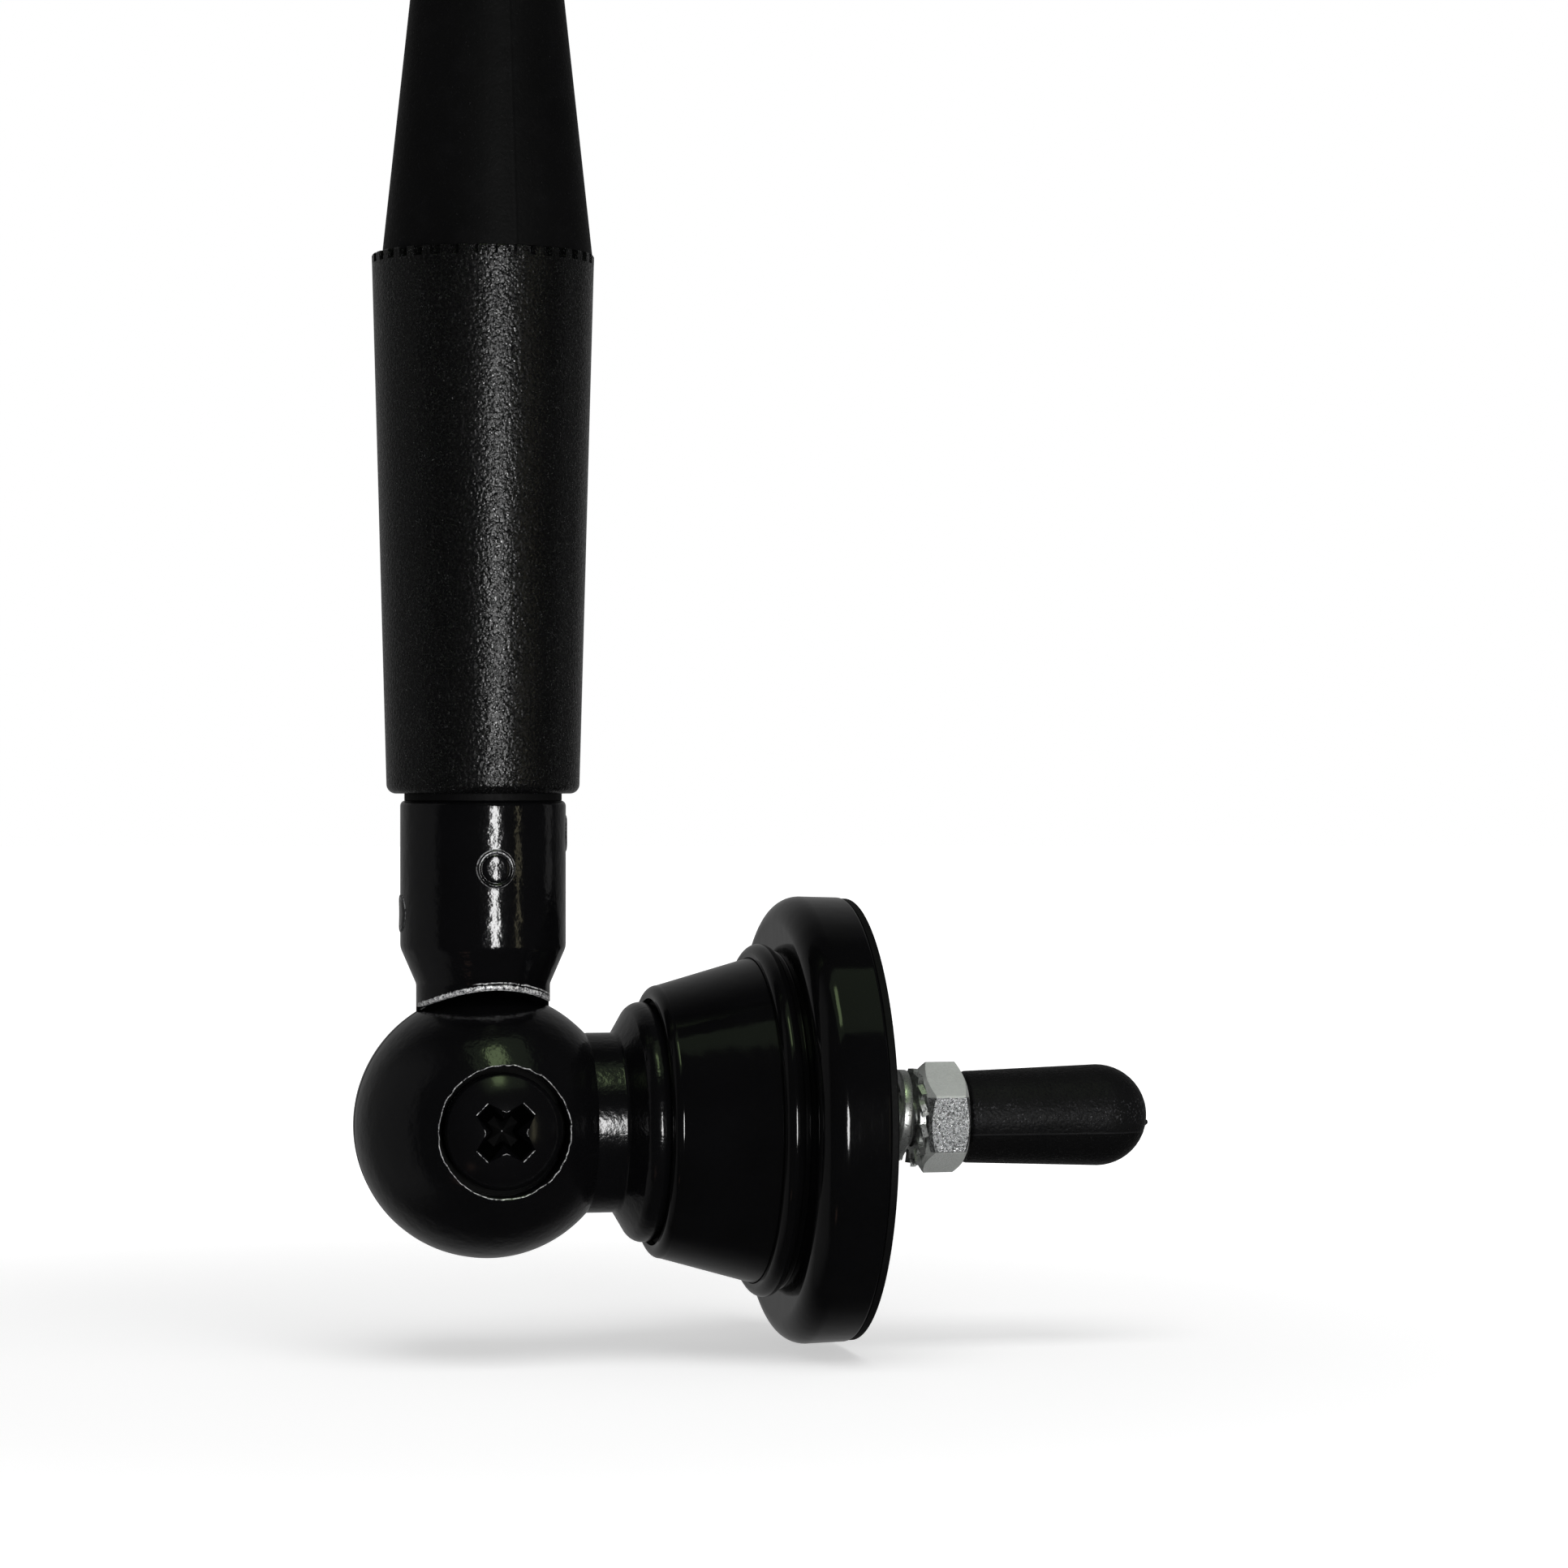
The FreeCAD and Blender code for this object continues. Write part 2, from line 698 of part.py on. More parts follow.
# The flat left by the casting's gate, at the seam below the ball's outer side
gate_angle = math.radians(gate_flat_angle.number)
gate_side = vector(-math.cos(gate_angle), 0, -math.sin(gate_angle))
gate_reach = ball_radius - gate_flat_width * gate_flat_width / (8 * ball_radius)
gate_flat = cylinder(
    "gate_flat",
    gate_flat_width,
    ball_radius,
    (gate_reach * gate_side.x, 0, gate_reach * gate_side.z),
    FreeCAD.Rotation(vector(0, 0, 1), gate_side),
)
base_knuckle = cut(
    "base_knuckle_cut",
    fused("base_knuckle_blank", neck, ball("near_ball", ball_radius)),
    far_space,
    counterbore,
    screw_pass,
    near_disc_pocket,
    stud_hole,
    gate_flat,
)
finish(base_knuckle, "base_knuckle")

# Friction disc between the two halves, let into the near one
disc_back = seam_gap / 2 + disc_sink
disc = turned(
    "disc",
    "Y",
    [
        (screw_radius + swing_gap, -disc_back),
        (disc_radius, -disc_back),
        (disc_radius, disc_thickness - disc_back),
        (screw_radius + swing_gap, disc_thickness - disc_back),
    ],
)
finish(disc, "friction_disc")

# Spring washer under the screw's head
head_under = head_seat + wave_washer_thickness
wave_washer = turned(
    "wave_washer",
    "Y",
    [
        (screw_radius + swing_gap, -head_seat),
        (screw_radius + swing_gap, -head_under),
        (wave_washer_radius, -head_under),
        (wave_washer_radius, -head_seat),
    ],
)
finish(wave_washer, "pivot_spring_washer")

# Pivot screw: a raised head with a cross recess, whose wings stand on the diagonals
head_top = head_under + head_edge
crown = head_top + head_dome
dome_radius = (head_radius * head_radius + head_dome * head_dome) / (2 * head_dome)
screw_blank = turned(
    "screw_blank",
    "Y",
    [
        (0, -crown, -dome_radius),
        (head_radius, -head_top),
        (head_radius, -head_under),
        (screw_radius, -head_under),
        (screw_radius, screw_reach - stud_chamfer),
        (screw_radius - stud_chamfer, screw_reach),
        (0, screw_reach),
    ],
)


def cross_section(label, station, share):
    """The recess's outline at a depth: four wings round a heart that bows in between them."""
    body = doc.addObject("PartDesign::Body", f"{label}_body")
    tip = recess_span / 2 * share
    half_wing = recess_wing / 2 * share
    heart = recess_heart / 2 * share
    corners = []
    for quarter in range(4):
        cosine, sine = [(1, 0), (0, 1), (-1, 0), (0, -1)][quarter]
        for out, along in ((tip, -half_wing), (tip, half_wing), (heart, heart)):
            across = as_size(out) * cosine - as_size(along) * sine
            up = as_size(out) * sine + as_size(along) * cosine
            corners.append((across, up))
    sketch = sketch_outline(body, "XZ_Plane", corners, label)
    sketch.setExpression("AttachmentOffset.Base.z", station.formula)
    sketch.AttachmentOffset = FreeCAD.Placement(
        vector(0, 0, station.number), FreeCAD.Rotation(vector(0, 0, 1), 45)
    )
    return sketch


recess = doc.addObject("Part::Loft", "recess")
recess.Sections = [
    cross_section("recess_mouth", crown, 1.0),
    cross_section("recess_floor", crown - recess_depth, recess_taper),
]
recess.Solid = True
recess.Ruled = True
finish(cut("pivot_screw_cut", screw_blank, recess), "pivot_screw")

# Base

# Rubber seal in the cone's mouth, under the bell
seal = turned(
    "seal",
    "X",
    [
        (bell_end, tail_radius + fit_gap),
        (bell_end, cone_mouth_radius - fit_gap),
        (cone_seat, cone_mouth_radius - fit_gap),
        (cone_seat, tail_radius + fit_gap),
    ],
)
finish(seal, "neck_seal")

# Cone: a shell with a rolled lip at its mouth and a straight skirt that goes into the flange
bush_radius = tail_radius + fit_gap + bush_wall
cone_slope = (cone_foot_radius - cone_small_radius) / cone_length
cavity_start = cone_seat + cone_floor
cavity_radius = cone_small_radius + cone_slope * (cavity_start - cone_start) - cone_wall
cone = turned(
    "cone",
    "X",
    [
        (cone_start, cone_mouth_radius),
        (cone_start, cone_small_radius - cone_lip_round, cone_lip_round),
        (cone_start + cone_lip_round, cone_small_radius + cone_slope * cone_lip_round),
        (cone_foot, cone_foot_radius),
        (cone_end, cone_foot_radius),
        (cone_end, cone_foot_radius - cone_wall),
        (cone_foot, cone_foot_radius - cone_wall),
        (cavity_start, cavity_radius),
        (cavity_start, bush_radius + fit_gap),
        (cone_seat, bush_radius + fit_gap),
        (cone_seat, cone_mouth_radius),
    ],
)
finish(cone, "base_cone")

# Insulating bush round the tail
bush = turned(
    "bush",
    "X",
    [
        (cone_seat, tail_radius + fit_gap),
        (cone_seat, bush_radius),
        (web_back, bush_radius),
        (web_back, tail_radius + fit_gap),
    ],
)
finish(bush, "insulating_bush")

# Flange: a rolled lip round the cone's foot, a groove, a round shoulder and the rim, with a web inside
# that the cone stands on and a recess at the back. The lip's and the shoulder's arcs are a hair flatter
# than their width, so that they close at any size.
mouth_radius = cone_foot_radius + fit_gap
lip_arc = lip_radius * 1.02
shoulder_arc = shoulder_radius * 1.02
groove_radius = mouth_radius + lip_root
flange = turned(
    "flange",
    "X",
    [
        (lip_start, mouth_radius),
        (lip_start, groove_radius, lip_arc),
        (lip_end, groove_radius),
        (groove_end, groove_radius),
        (groove_end, flange_radius - shoulder_radius, shoulder_arc),
        (rim_front, flange_radius),
        (rim_back, flange_radius),
        (rim_back, back_recess_radius),
        (web_back, back_recess_radius),
        (web_back, bush_radius + fit_gap),
        (cone_end, bush_radius + fit_gap),
        (cone_end, mouth_radius),
    ],
)
finish(flange, "base_flange")

# Rubber gasket on the back of the rim
gasket = turned(
    "gasket",
    "X",
    [
        (rim_back, back_recess_radius),
        (rim_back, flange_radius - gasket_inset),
        (face_reach, flange_radius - gasket_inset),
        (face_reach, back_recess_radius),
    ],
)
finish(gasket, "base_gasket")

# Insulating washer and nut that hold the stack together on the tail
stack_washer = turned(
    "stack_washer",
    "X",
    [
        (web_back, tail_radius + fit_gap),
        (web_back, stack_washer_radius),
        (stack_nut_front, stack_washer_radius),
        (stack_nut_front, tail_radius + fit_gap),
    ],
)
finish(stack_washer, "insulating_washer")
stack_nut = cut(
    "stack_nut_cut",
    hex_blank("stack_nut", stack_nut_flats, stack_nut_front, stack_nut_height, stack_nut_chamfer, 0),
    cylinder(
        "stack_nut_thread", tail_radius + fit_gap, stack_nut_height, (stack_nut_front, 0, 0), ALONG_X
    ),
)
finish(stack_nut, "retaining_nut")

# Stud, screwed into the tail
stud_end = face_reach + stud_length
stud = turned(
    "stud",
    "X",
    [
        (tail_end - stud_sink, 0),
        (tail_end - stud_sink, stud_radius),
        (stud_end - stud_chamfer, stud_radius),
        (stud_end, stud_radius - stud_chamfer),
        (stud_end, 0),
    ],
)
finish(stud, "mounting_stud")

# Split spring washer: a flat section carried round almost one turn of a left-handed helix. It stands
# aslant on the stud, with its upper side nearer to the nut, and a little off the stud's axis.
spring_path = doc.addObject("Part::Helix", "spring_path")
spring_middle = (spring_washer_bore + spring_washer_width) / 2
bind(
    spring_path,
    Pitch=spring_washer_pitch,
    Height=spring_washer_pitch * spring_washer_turn,
    Radius=spring_middle,
)
spring_path.LocalCoord = "Left-handed"
spring_section = doc.addObject("Part::Plane", "spring_section")
bind(spring_section, Length=spring_washer_width, Width=spring_washer_thickness)
place(
    spring_section,
    (spring_middle - spring_washer_width / 2, 0, -spring_washer_thickness / 2),
    AGAINST_Y,
)
spring_sweep = doc.addObject("Part::Sweep", "spring_sweep")
spring_sweep.Sections = [spring_section]
spring_sweep.Spine = (spring_path, [])
spring_sweep.Solid = True
spring_sweep.Frenet = True
spring_start = washer_front + spring_washer_thickness / 2
aslant = FreeCAD.Rotation(vector(0, 1, 0), spring_washer_tilt.number).multiply(ALONG_X)
finish(spring_sweep, "spring_washer", (spring_start, 0, spring_washer_lift), aslant)

# Toothed lock washer: a flat ring with twisted teeth round its edge
tooth_washer = turned(
    "tooth_washer",
    "X",
    [
        (0, stud_radius + fit_gap),
        (0, tooth_washer_ring),
        (tooth_washer_thickness, tooth_washer_ring),
        (tooth_washer_thickness, stud_radius + fit_gap),
    ],
)
tooth = tooth_washer.newObject("PartDesign::AdditiveBox", "tooth")
tooth_root = (stud_radius + fit_gap + tooth_washer_ring) / 2
bind(tooth, Length=tooth_washer_thickness, Width=tooth_width, Height=tooth_washer_reach - tooth_root)
twist = FreeCAD.Rotation(vector(0, 0, 1), tooth_twist.number)
half_tooth = vector(tooth_washer_thickness.number, tooth_width.number, 0) / 2
tooth.Placement = FreeCAD.Placement(
    vector(half_tooth.x, 0, tooth_root.number) - twist.multVec(half_tooth), twist
)
teeth = tooth_washer.newObject("PartDesign::PolarPattern", "teeth")
teeth.Originals = [tooth]
teeth.Axis = (origin_plane(tooth_washer, "X_Axis"), [""])
teeth.Angle = 360
bind(teeth, Occurrences=tooth_count)
tooth_washer.Tip = teeth
finish(tooth_washer, "tooth_washer", (tooth_washer_front, 0, 0))

# Hexagon nut
nut = cut(
    "nut_cut",
    hex_blank("nut", nut_flats, nut_front, nut_height, nut_chamfer, nut_turn),
    cylinder("nut_thread", stud_radius + fit_gap, nut_height, (nut_front, 0, 0), ALONG_X),
)
finish(nut, "hex_nut")

# Rubber cap over the stud's end, wider towards its round tip, with the nib that its mould leaves
cap_tip = cap_crown + cap_crown_radius
cap_floor = stud_end + cap_bore_spare
cap_shell = turned(
    "cap_shell",
    "X",
    [
        (cap_front, stud_radius + running_gap),
        (cap_front, cap_mouth_radius),
        (cap_crown, cap_crown_radius, cap_crown_radius),
        (cap_tip, 0),
        (cap_floor, 0),
        (cap_floor, stud_radius + running_gap),
    ],
)
cap_nib = ball("cap_nib", cap_nib_radius, (cap_tip - cap_nib_radius / 4, 0, -cap_nib_drop))
finish(fused("stud_cap_fuse", cap_shell, cap_nib), "stud_cap")

# Every object has to have built, and every sub-part has to be one closed solid, before any file is written
doc.recompute()
for item in doc.Objects:
    faults = {"Invalid", "Error"} & set(item.State)
    if faults:
        raise RuntimeError(f"{item.Label} did not build: {faults}")
for node, item in nodes.items():
    shape = item.Shape
    if shape.isNull() or not shape.isValid() or len(shape.Solids) != 1:
        raise RuntimeError(f"{node} is not one valid solid")

for node, item in nodes.items():
    item.Shape.exportStep(f"parts/{node}.step")
    print(f"{node}: {item.Shape.Volume / 1000:.3f} cm3")
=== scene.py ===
# %% [markdown]
# # A rubber duck antenna on a swivel base
#
# The antenna is a soft whip on a short ball joint. The joint sits on a conical base with a flange, and a
# threaded stud holds the base to a panel. This lesson rebuilds its skin round the CAD frame. Lengths are in
# millimetres from the centre of the ball, because all three axes of the object meet there, and only the last
# step of each mesh turns them into metres in the frame's own place.

import math

import bpy
import numpy as np
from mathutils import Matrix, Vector


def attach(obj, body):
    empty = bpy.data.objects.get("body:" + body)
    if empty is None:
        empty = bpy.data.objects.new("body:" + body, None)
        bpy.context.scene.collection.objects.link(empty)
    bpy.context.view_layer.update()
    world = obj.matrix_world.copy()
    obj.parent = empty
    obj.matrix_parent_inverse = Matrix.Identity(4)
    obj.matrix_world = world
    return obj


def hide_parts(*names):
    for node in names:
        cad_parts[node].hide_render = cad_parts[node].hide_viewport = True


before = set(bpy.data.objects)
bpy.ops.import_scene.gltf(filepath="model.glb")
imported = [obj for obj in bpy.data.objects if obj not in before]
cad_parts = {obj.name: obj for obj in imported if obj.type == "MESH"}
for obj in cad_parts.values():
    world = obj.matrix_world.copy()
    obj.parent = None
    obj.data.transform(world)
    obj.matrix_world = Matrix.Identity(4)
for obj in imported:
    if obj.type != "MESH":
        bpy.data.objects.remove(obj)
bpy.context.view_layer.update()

# %% [markdown]
# ## From millimetres to the frame
#
# The frame's origin is the centre of the base's back face. The ball's centre lies behind it on the stud's
# axis. One small function holds that shift, so no piece can end up in another place than its CAD solid.

# %% The shift
BALL_TO_FACE = 38.6
MILLIMETRE = 0.001


def in_frame(points):
    """Metres in the frame: the point less the ball's distance from the face along X, over a thousand."""
    return (np.asarray(points, float) - (BALL_TO_FACE, 0, 0)) * MILLIMETRE


# %% [markdown]
# ## Turned pieces
#
# Most of this object was turned or moulded round an axis: ferrule, balls, neck, cone, flange, nut and cap.
# Such a piece is an outline carried round a circle. Blender has a Screw modifier for that, but its normals
# are averaged from the facets, and a gloss black surface shows every error in them. Here the outline keeps
# its own exact normals, corner by corner, and they are written into the mesh.

# %% Outlines
ARC_STEP = math.radians(7)


def arc_between(start, end, radius):
    """Points and outward normals on an arc. A positive radius bulges away from the solid, on the right.

    The centre lies on the chord's perpendicular, at the root of radius squared less half the chord squared.
    """
    chord = end - start
    half = np.linalg.norm(chord) / 2
    left = np.array([-chord[1], chord[0]]) / (2 * half)
    depth = math.sqrt(max(radius * radius - half * half, 0.0))
    centre = (start + end) / 2 + left * math.copysign(depth, radius)
    first, last = start - centre, end - centre
    sweep = math.atan2(first[0] * last[1] - first[1] * last[0], first @ last)
    steps = max(2, math.ceil(abs(sweep) / ARC_STEP))
    angle = np.linspace(0, sweep, steps + 1)[:, None]
    quarter = np.array([-first[1], first[0]])
    spokes = np.cos(angle) * first + np.sin(angle) * quarter
    return centre + spokes, spokes / abs(radius) * math.copysign(1, radius)


def outline(corners, closed=False):
    """A half section as runs of points with normals, the solid on its left.

    A corner is (distance from the axis, station along it, rounding, bow). A rounding puts an arc that
    touches both straight edges at the corner. A bow makes the edge after the corner an arc of that radius.
    """
    corners = [tuple(corner) + (0,) * (4 - len(corner)) for corner in corners]
    spots = np.array([corner[:2] for corner in corners], float)
    count = len(spots)
    ahead = np.roll(spots, -1, axis=0) - spots
    ahead /= np.maximum(np.linalg.norm(ahead, axis=1, keepdims=True), 1e-12)
    trims, fillets = [0.0] * count, {}
    for index, (_, _, rounding, _) in enumerate(corners):
        if rounding:
            before, after = ahead[index - 1], ahead[index]
            turn = math.atan2(before[0] * after[1] - before[1] * after[0], before @ after)
            trims[index] = rounding * math.tan(abs(turn) / 2)
            ends = spots[index] - before * trims[index], spots[index] + after * trims[index]
            fillets[index] = arc_between(*ends, math.copysign(rounding, turn))
    runs = []
    for index in range(count if closed else count - 1):
        following = (index + 1) % count
        if index in fillets:
            runs.append(fillets[index])
        if corners[index][3]:
            runs.append(arc_between(spots[index], spots[following], corners[index][3]))
            continue
        start = spots[index] + ahead[index] * trims[index]
        end = spots[following] - ahead[index] * trims[following]
        if np.linalg.norm(end - start) > 1e-6:
            normal = np.array([ahead[index][1], -ahead[index][0]])
            runs.append((np.array([start, end]), np.array([normal, normal])))
    return runs


# %% [markdown]
# An axis is three directions: two that span the circle and one that runs along the stations. The order
# keeps the faces' outsides outside for each of them.

# %% Axes and the turning itself
AXES = {
    "Z": np.array([(1, 0, 0), (0, 1, 0), (0, 0, 1)], float),
    "X": np.array([(0, 1, 0), (0, 0, 1), (1, 0, 0)], float),
    "far": np.array([(0, 0, 1), (1, 0, 0), (0, 1, 0)], float),
    "near": np.array([(1, 0, 0), (0, 0, 1), (0, -1, 0)], float),
}


class Turning:
    """A half outline carried once round an axis, with the exact normal of every point on it."""

    def __init__(self, corners, axis="Z", at=(0, 0, 0), closed=False, around=192):
        runs = outline(corners, closed)
        self.lower = np.concatenate([points[:-1] for points, _ in runs])
        self.upper = np.concatenate([points[1:] for points, _ in runs])
        self.lower_normal = np.concatenate([normals[:-1] for _, normals in runs])
        self.upper_normal = np.concatenate([normals[1:] for _, normals in runs])
        self.axes = AXES[axis] if isinstance(axis, str) else np.asarray(axis, float)
        self.at = np.asarray(at, float)
        self.closed = closed
        self.around = around

    def swung(self, flat, angle):
        """A flat (distance, station) vector at an angle: distance on the circle plus station on the axis."""
        circle = np.cos(angle)[:, None] * self.axes[0] + np.sin(angle)[:, None] * self.axes[1]
        return flat[..., :1] * circle + flat[..., 1:] * self.axes[2]

    def mesh_data(self):
        """Vertices, faces and corner normals: one ring of vertices for each point of the outline."""
        rings = self.lower if self.closed else np.concatenate([self.lower, self.upper[-1:]])
        angle = np.arange(self.around) * (2 * np.pi / self.around)
        turn = np.roll(angle, -1)
        points, index = [], []
        for ring in rings:
            pole = ring[0] < 1e-9
            start = sum(len(block) for block in points)
            points.append(self.at + self.swung(ring, angle[:1] if pole else angle))
            index.append(np.full(self.around, start) if pole else start + np.arange(self.around))
        faces, normals = [], []
        for segment in range(len(self.lower)):
            below, above = index[segment], index[(segment + 1) % len(index)]
            n_low, n_high = self.lower_normal[segment], self.upper_normal[segment]
            quad = np.stack([below, np.roll(below, -1), np.roll(above, -1), above], axis=1)
            ends = (n_low, angle), (n_low, turn), (n_high, turn), (n_high, angle)
            spread = np.stack([self.swung(*end) for end in ends], axis=1)
            poles = [below[0] == below[-1], above[0] == above[-1]]
            keep = [0, 1, 2, 3] if not any(poles) else [0, 2, 3] if poles[0] else [0, 1, 2]
            if not all(poles):
                faces += quad[:, keep].tolist()
                normals.append(spread[:, keep].reshape(-1, 3))
        return np.concatenate(points), faces, np.concatenate(normals)

    def nearest(self, probes, points=None):
        """How far each probe is from the turned surface, and the surface's normal beside each point.

        In the half plane of the axis every point has two coordinates, and the nearest segment of the
        outline is the one whose own nearest point is closest.
        """
        points = probes if points is None else points

        def flat(spots):
            spots = spots - self.at
            across, up, along = (spots @ direction for direction in self.axes)
            return np.stack([np.hypot(across, up), along], axis=1), np.arctan2(up, across)

        (probe, _), (spot, angle) = flat(probes), flat(points)
        run = self.upper - self.lower
        length = np.maximum((run * run).sum(axis=1), 1e-12)
        share = np.clip(((probe[:, None] - self.lower) * run).sum(axis=2) / length, 0, 1)
        gap = np.linalg.norm(probe[:, None] - self.lower - share[..., None] * run, axis=2)
        best = gap.argmin(axis=1)
        share = np.clip(((spot - self.lower[best]) * run[best]).sum(axis=1) / length[best], 0, 1)[:, None]
        normal = self.lower_normal[best] * (1 - share) + self.upper_normal[best] * share
        normal /= np.linalg.norm(normal, axis=1, keepdims=True)
        return gap[np.arange(len(best)), best], self.swung(normal, angle)


# %% [markdown]
# ## Meshes and bodies
#
# Every finished piece is an object at the origin whose place is in its vertices, as the CAD nodes are. It
# rides on a body of the frame, hides the CAD nodes that it stands for and wears the finish that it is given.

# %% Making a piece
def new_mesh(name, points, faces, normals=None, sharp=None):
    """A mesh from arrays. Exact corner normals go in where they are known, else a sharp angle splits it."""
    mesh = bpy.data.meshes.new(name)
    mesh.from_pydata(np.asarray(points).tolist(), [], faces)
    mesh.polygons.foreach_set("use_smooth", np.ones(len(mesh.polygons), bool))
    if sharp is not None:
        mesh.set_sharp_from_angle(angle=math.radians(sharp))
    if normals is not None:
        mesh.normals_split_custom_set(np.asarray(normals).tolist())
    mesh.update()
    return mesh


def piece(name, mesh, body, nodes, slot, finish):
    """Puts a mesh into the scene as a finished piece on its body, with its finish, and hides its CAD nodes.
    """
    shown = bpy.data.objects.new(name, mesh)
    bpy.context.scene.collection.objects.link(shown)
    mesh.materials.clear()
    mesh.materials.append(finish)
    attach(shown, body)
    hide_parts(*nodes)
    triangles = sum(len(face.vertices) - 2 for face in mesh.polygons)
    print(f"{name}: {triangles} triangles, for {', '.join(nodes)}")


def turned_piece(name, turning, *role):
    """A piece that is one turning and nothing else. Its role is its body, nodes, slot and finish, the slot
    unused.
    """
    points, faces, normals = turning.mesh_data()
    piece(name, new_mesh(name, in_frame(points), faces, normals), *role)


def circle(count):
    """Evenly spaced angles, once round."""
    return np.linspace(0, 2 * np.pi, count, endpoint=False)


def polar(radius, angle):
    """The two coordinates of points at a radius and an angle."""
    return radius * np.cos(angle), radius * np.sin(angle)


def grid_of(x, y, z):
    """Points from three arrays of coordinates, each spread over the rows and columns of all."""
    return np.stack(np.broadcast_arrays(x, y, z), axis=-1)


def closed_grid(points, cap_low=True, cap_high=True):
    """Points and faces of a grid that goes round in its columns, its first and last row closed by a face."""
    rows, columns = points.shape[:2]
    index = np.arange(rows * columns).reshape(rows, columns)
    quads = np.stack([index[:-1], np.roll(index[:-1], -1, 1), np.roll(index[1:], -1, 1), index[1:]], axis=-1)
    faces = quads.reshape(-1, 4).tolist()
    if cap_low:
        faces.append(index[0][::-1].tolist())
    if cap_high:
        faces.append(index[-1].tolist())
    return points.reshape(-1, 3), faces


def inside_out(grid):
    """The same grid with every face turned over."""
    points, faces = grid
    return points, [face[::-1] for face in faces]


def grid_piece(name, grid, sharp, *role):
    """A piece whose skin is one closed grid, with its edges sharp above an angle in degrees."""
    points, faces = grid
    piece(name, new_mesh(name, in_frame(points), faces, sharp=sharp), *role)


# %% [markdown]
# ## Turnings that meet
#
# A casting such as the mast's half of the joint is several turned forms that run into each other. A
# Boolean modifier joins them, but it forgets the normals. Each face of the result still lies on one of the
# forms, so every corner asks the form nearest to it for the exact normal.

# %% Joining and cutting
# A face belongs to a form that it is this near to, in millimetres, and that faces nearly the same way, by
# this cosine. A corner asks from a spot inside its face, this share of the way to the middle.
TOUCHING, SAME_WAY, INSIDE = 0.06, 0.8, 0.05


def raw_object(name, points, faces):
    """A plain object in millimetres, for the Boolean modifiers alone."""
    mesh = bpy.data.meshes.new(name)
    mesh.from_pydata(np.asarray(points).tolist(), [], faces)
    made = bpy.data.objects.new(name, mesh)
    bpy.context.scene.collection.objects.link(made)
    return made


def carved(name, base, steps):
    """One mesh from a base turning and steps of (operation, turning or raw mesh data)."""

    def parts(form):
        return form.mesh_data()[:2] if isinstance(form, Turning) else form

    body = raw_object(name, *parts(base))
    tools = []
    for number, (operation, form) in enumerate(steps):
        tools.append(raw_object(f"{name}_{number}", *parts(form)))
        step = body.modifiers.new(operation, "BOOLEAN")
        step.operation = operation
        step.solver = "EXACT"
        step.object = tools[-1]
    graph = bpy.context.evaluated_depsgraph_get()
    mesh = bpy.data.meshes.new_from_object(body.evaluated_get(graph))
    for made in [body, *tools]:
        bpy.data.objects.remove(made)
    mesh.polygons.foreach_set("use_smooth", np.ones(len(mesh.polygons), bool))
    mesh.set_sharp_from_angle(angle=math.radians(25))

    def read(group, what, width=1, kind=np.float32):
        values = np.empty(len(group) * width, kind)
        group.foreach_get(what, values)
        return values.reshape(-1, width).astype(float) if width > 1 else values

    vertices, normals = read(mesh.vertices, "co", 3), read(mesh.corner_normals, "vector", 3)
    centres, facing = read(mesh.polygons, "center", 3), read(mesh.polygons, "normal", 3)
    corner = read(mesh.loops, "vertex_index", kind=np.int32)
    total = read(mesh.polygons, "loop_total", kind=np.int32)
    owner = np.repeat(np.arange(len(total)), total)
    forms = [(base, 1.0)] + [(form, -1.0 if operation == "DIFFERENCE" else 1.0) for operation, form in steps]
    forms = [(form, side) for form, side in forms if isinstance(form, Turning)]
    nearest, chosen = np.full(len(centres), TOUCHING), np.full(len(centres), -1)
    for number, (form, side) in enumerate(forms):
        gap, normal = form.nearest(centres)
        better = (gap < nearest) & ((normal * facing).sum(axis=1) * side > SAME_WAY)
        nearest[better], chosen[better] = gap[better], number
    for number, (form, side) in enumerate(forms):
        mine = chosen[owner] == number
        if mine.any():
            spot = vertices[corner[mine]]
            inward = spot + (centres[owner[mine]] - spot) * INSIDE
            normals[mine] = form.nearest(inward, spot)[1] * side
    mesh.vertices.foreach_set("co", in_frame(vertices).ravel())
    mesh.update()
    mesh.normals_split_custom_set(normals.tolist())
    print(f"{name}: {(chosen >= 0).mean():.1%} of the faces have an exact normal")
    return mesh


# %% [markdown]
# ## Shader sums in plain Python
#
# A finish is easier to read as a sum than as a wall of nodes. A Value holds one output socket. Adding,
# multiplying or comparing it adds the Math node that does so, whichever side the number is on.

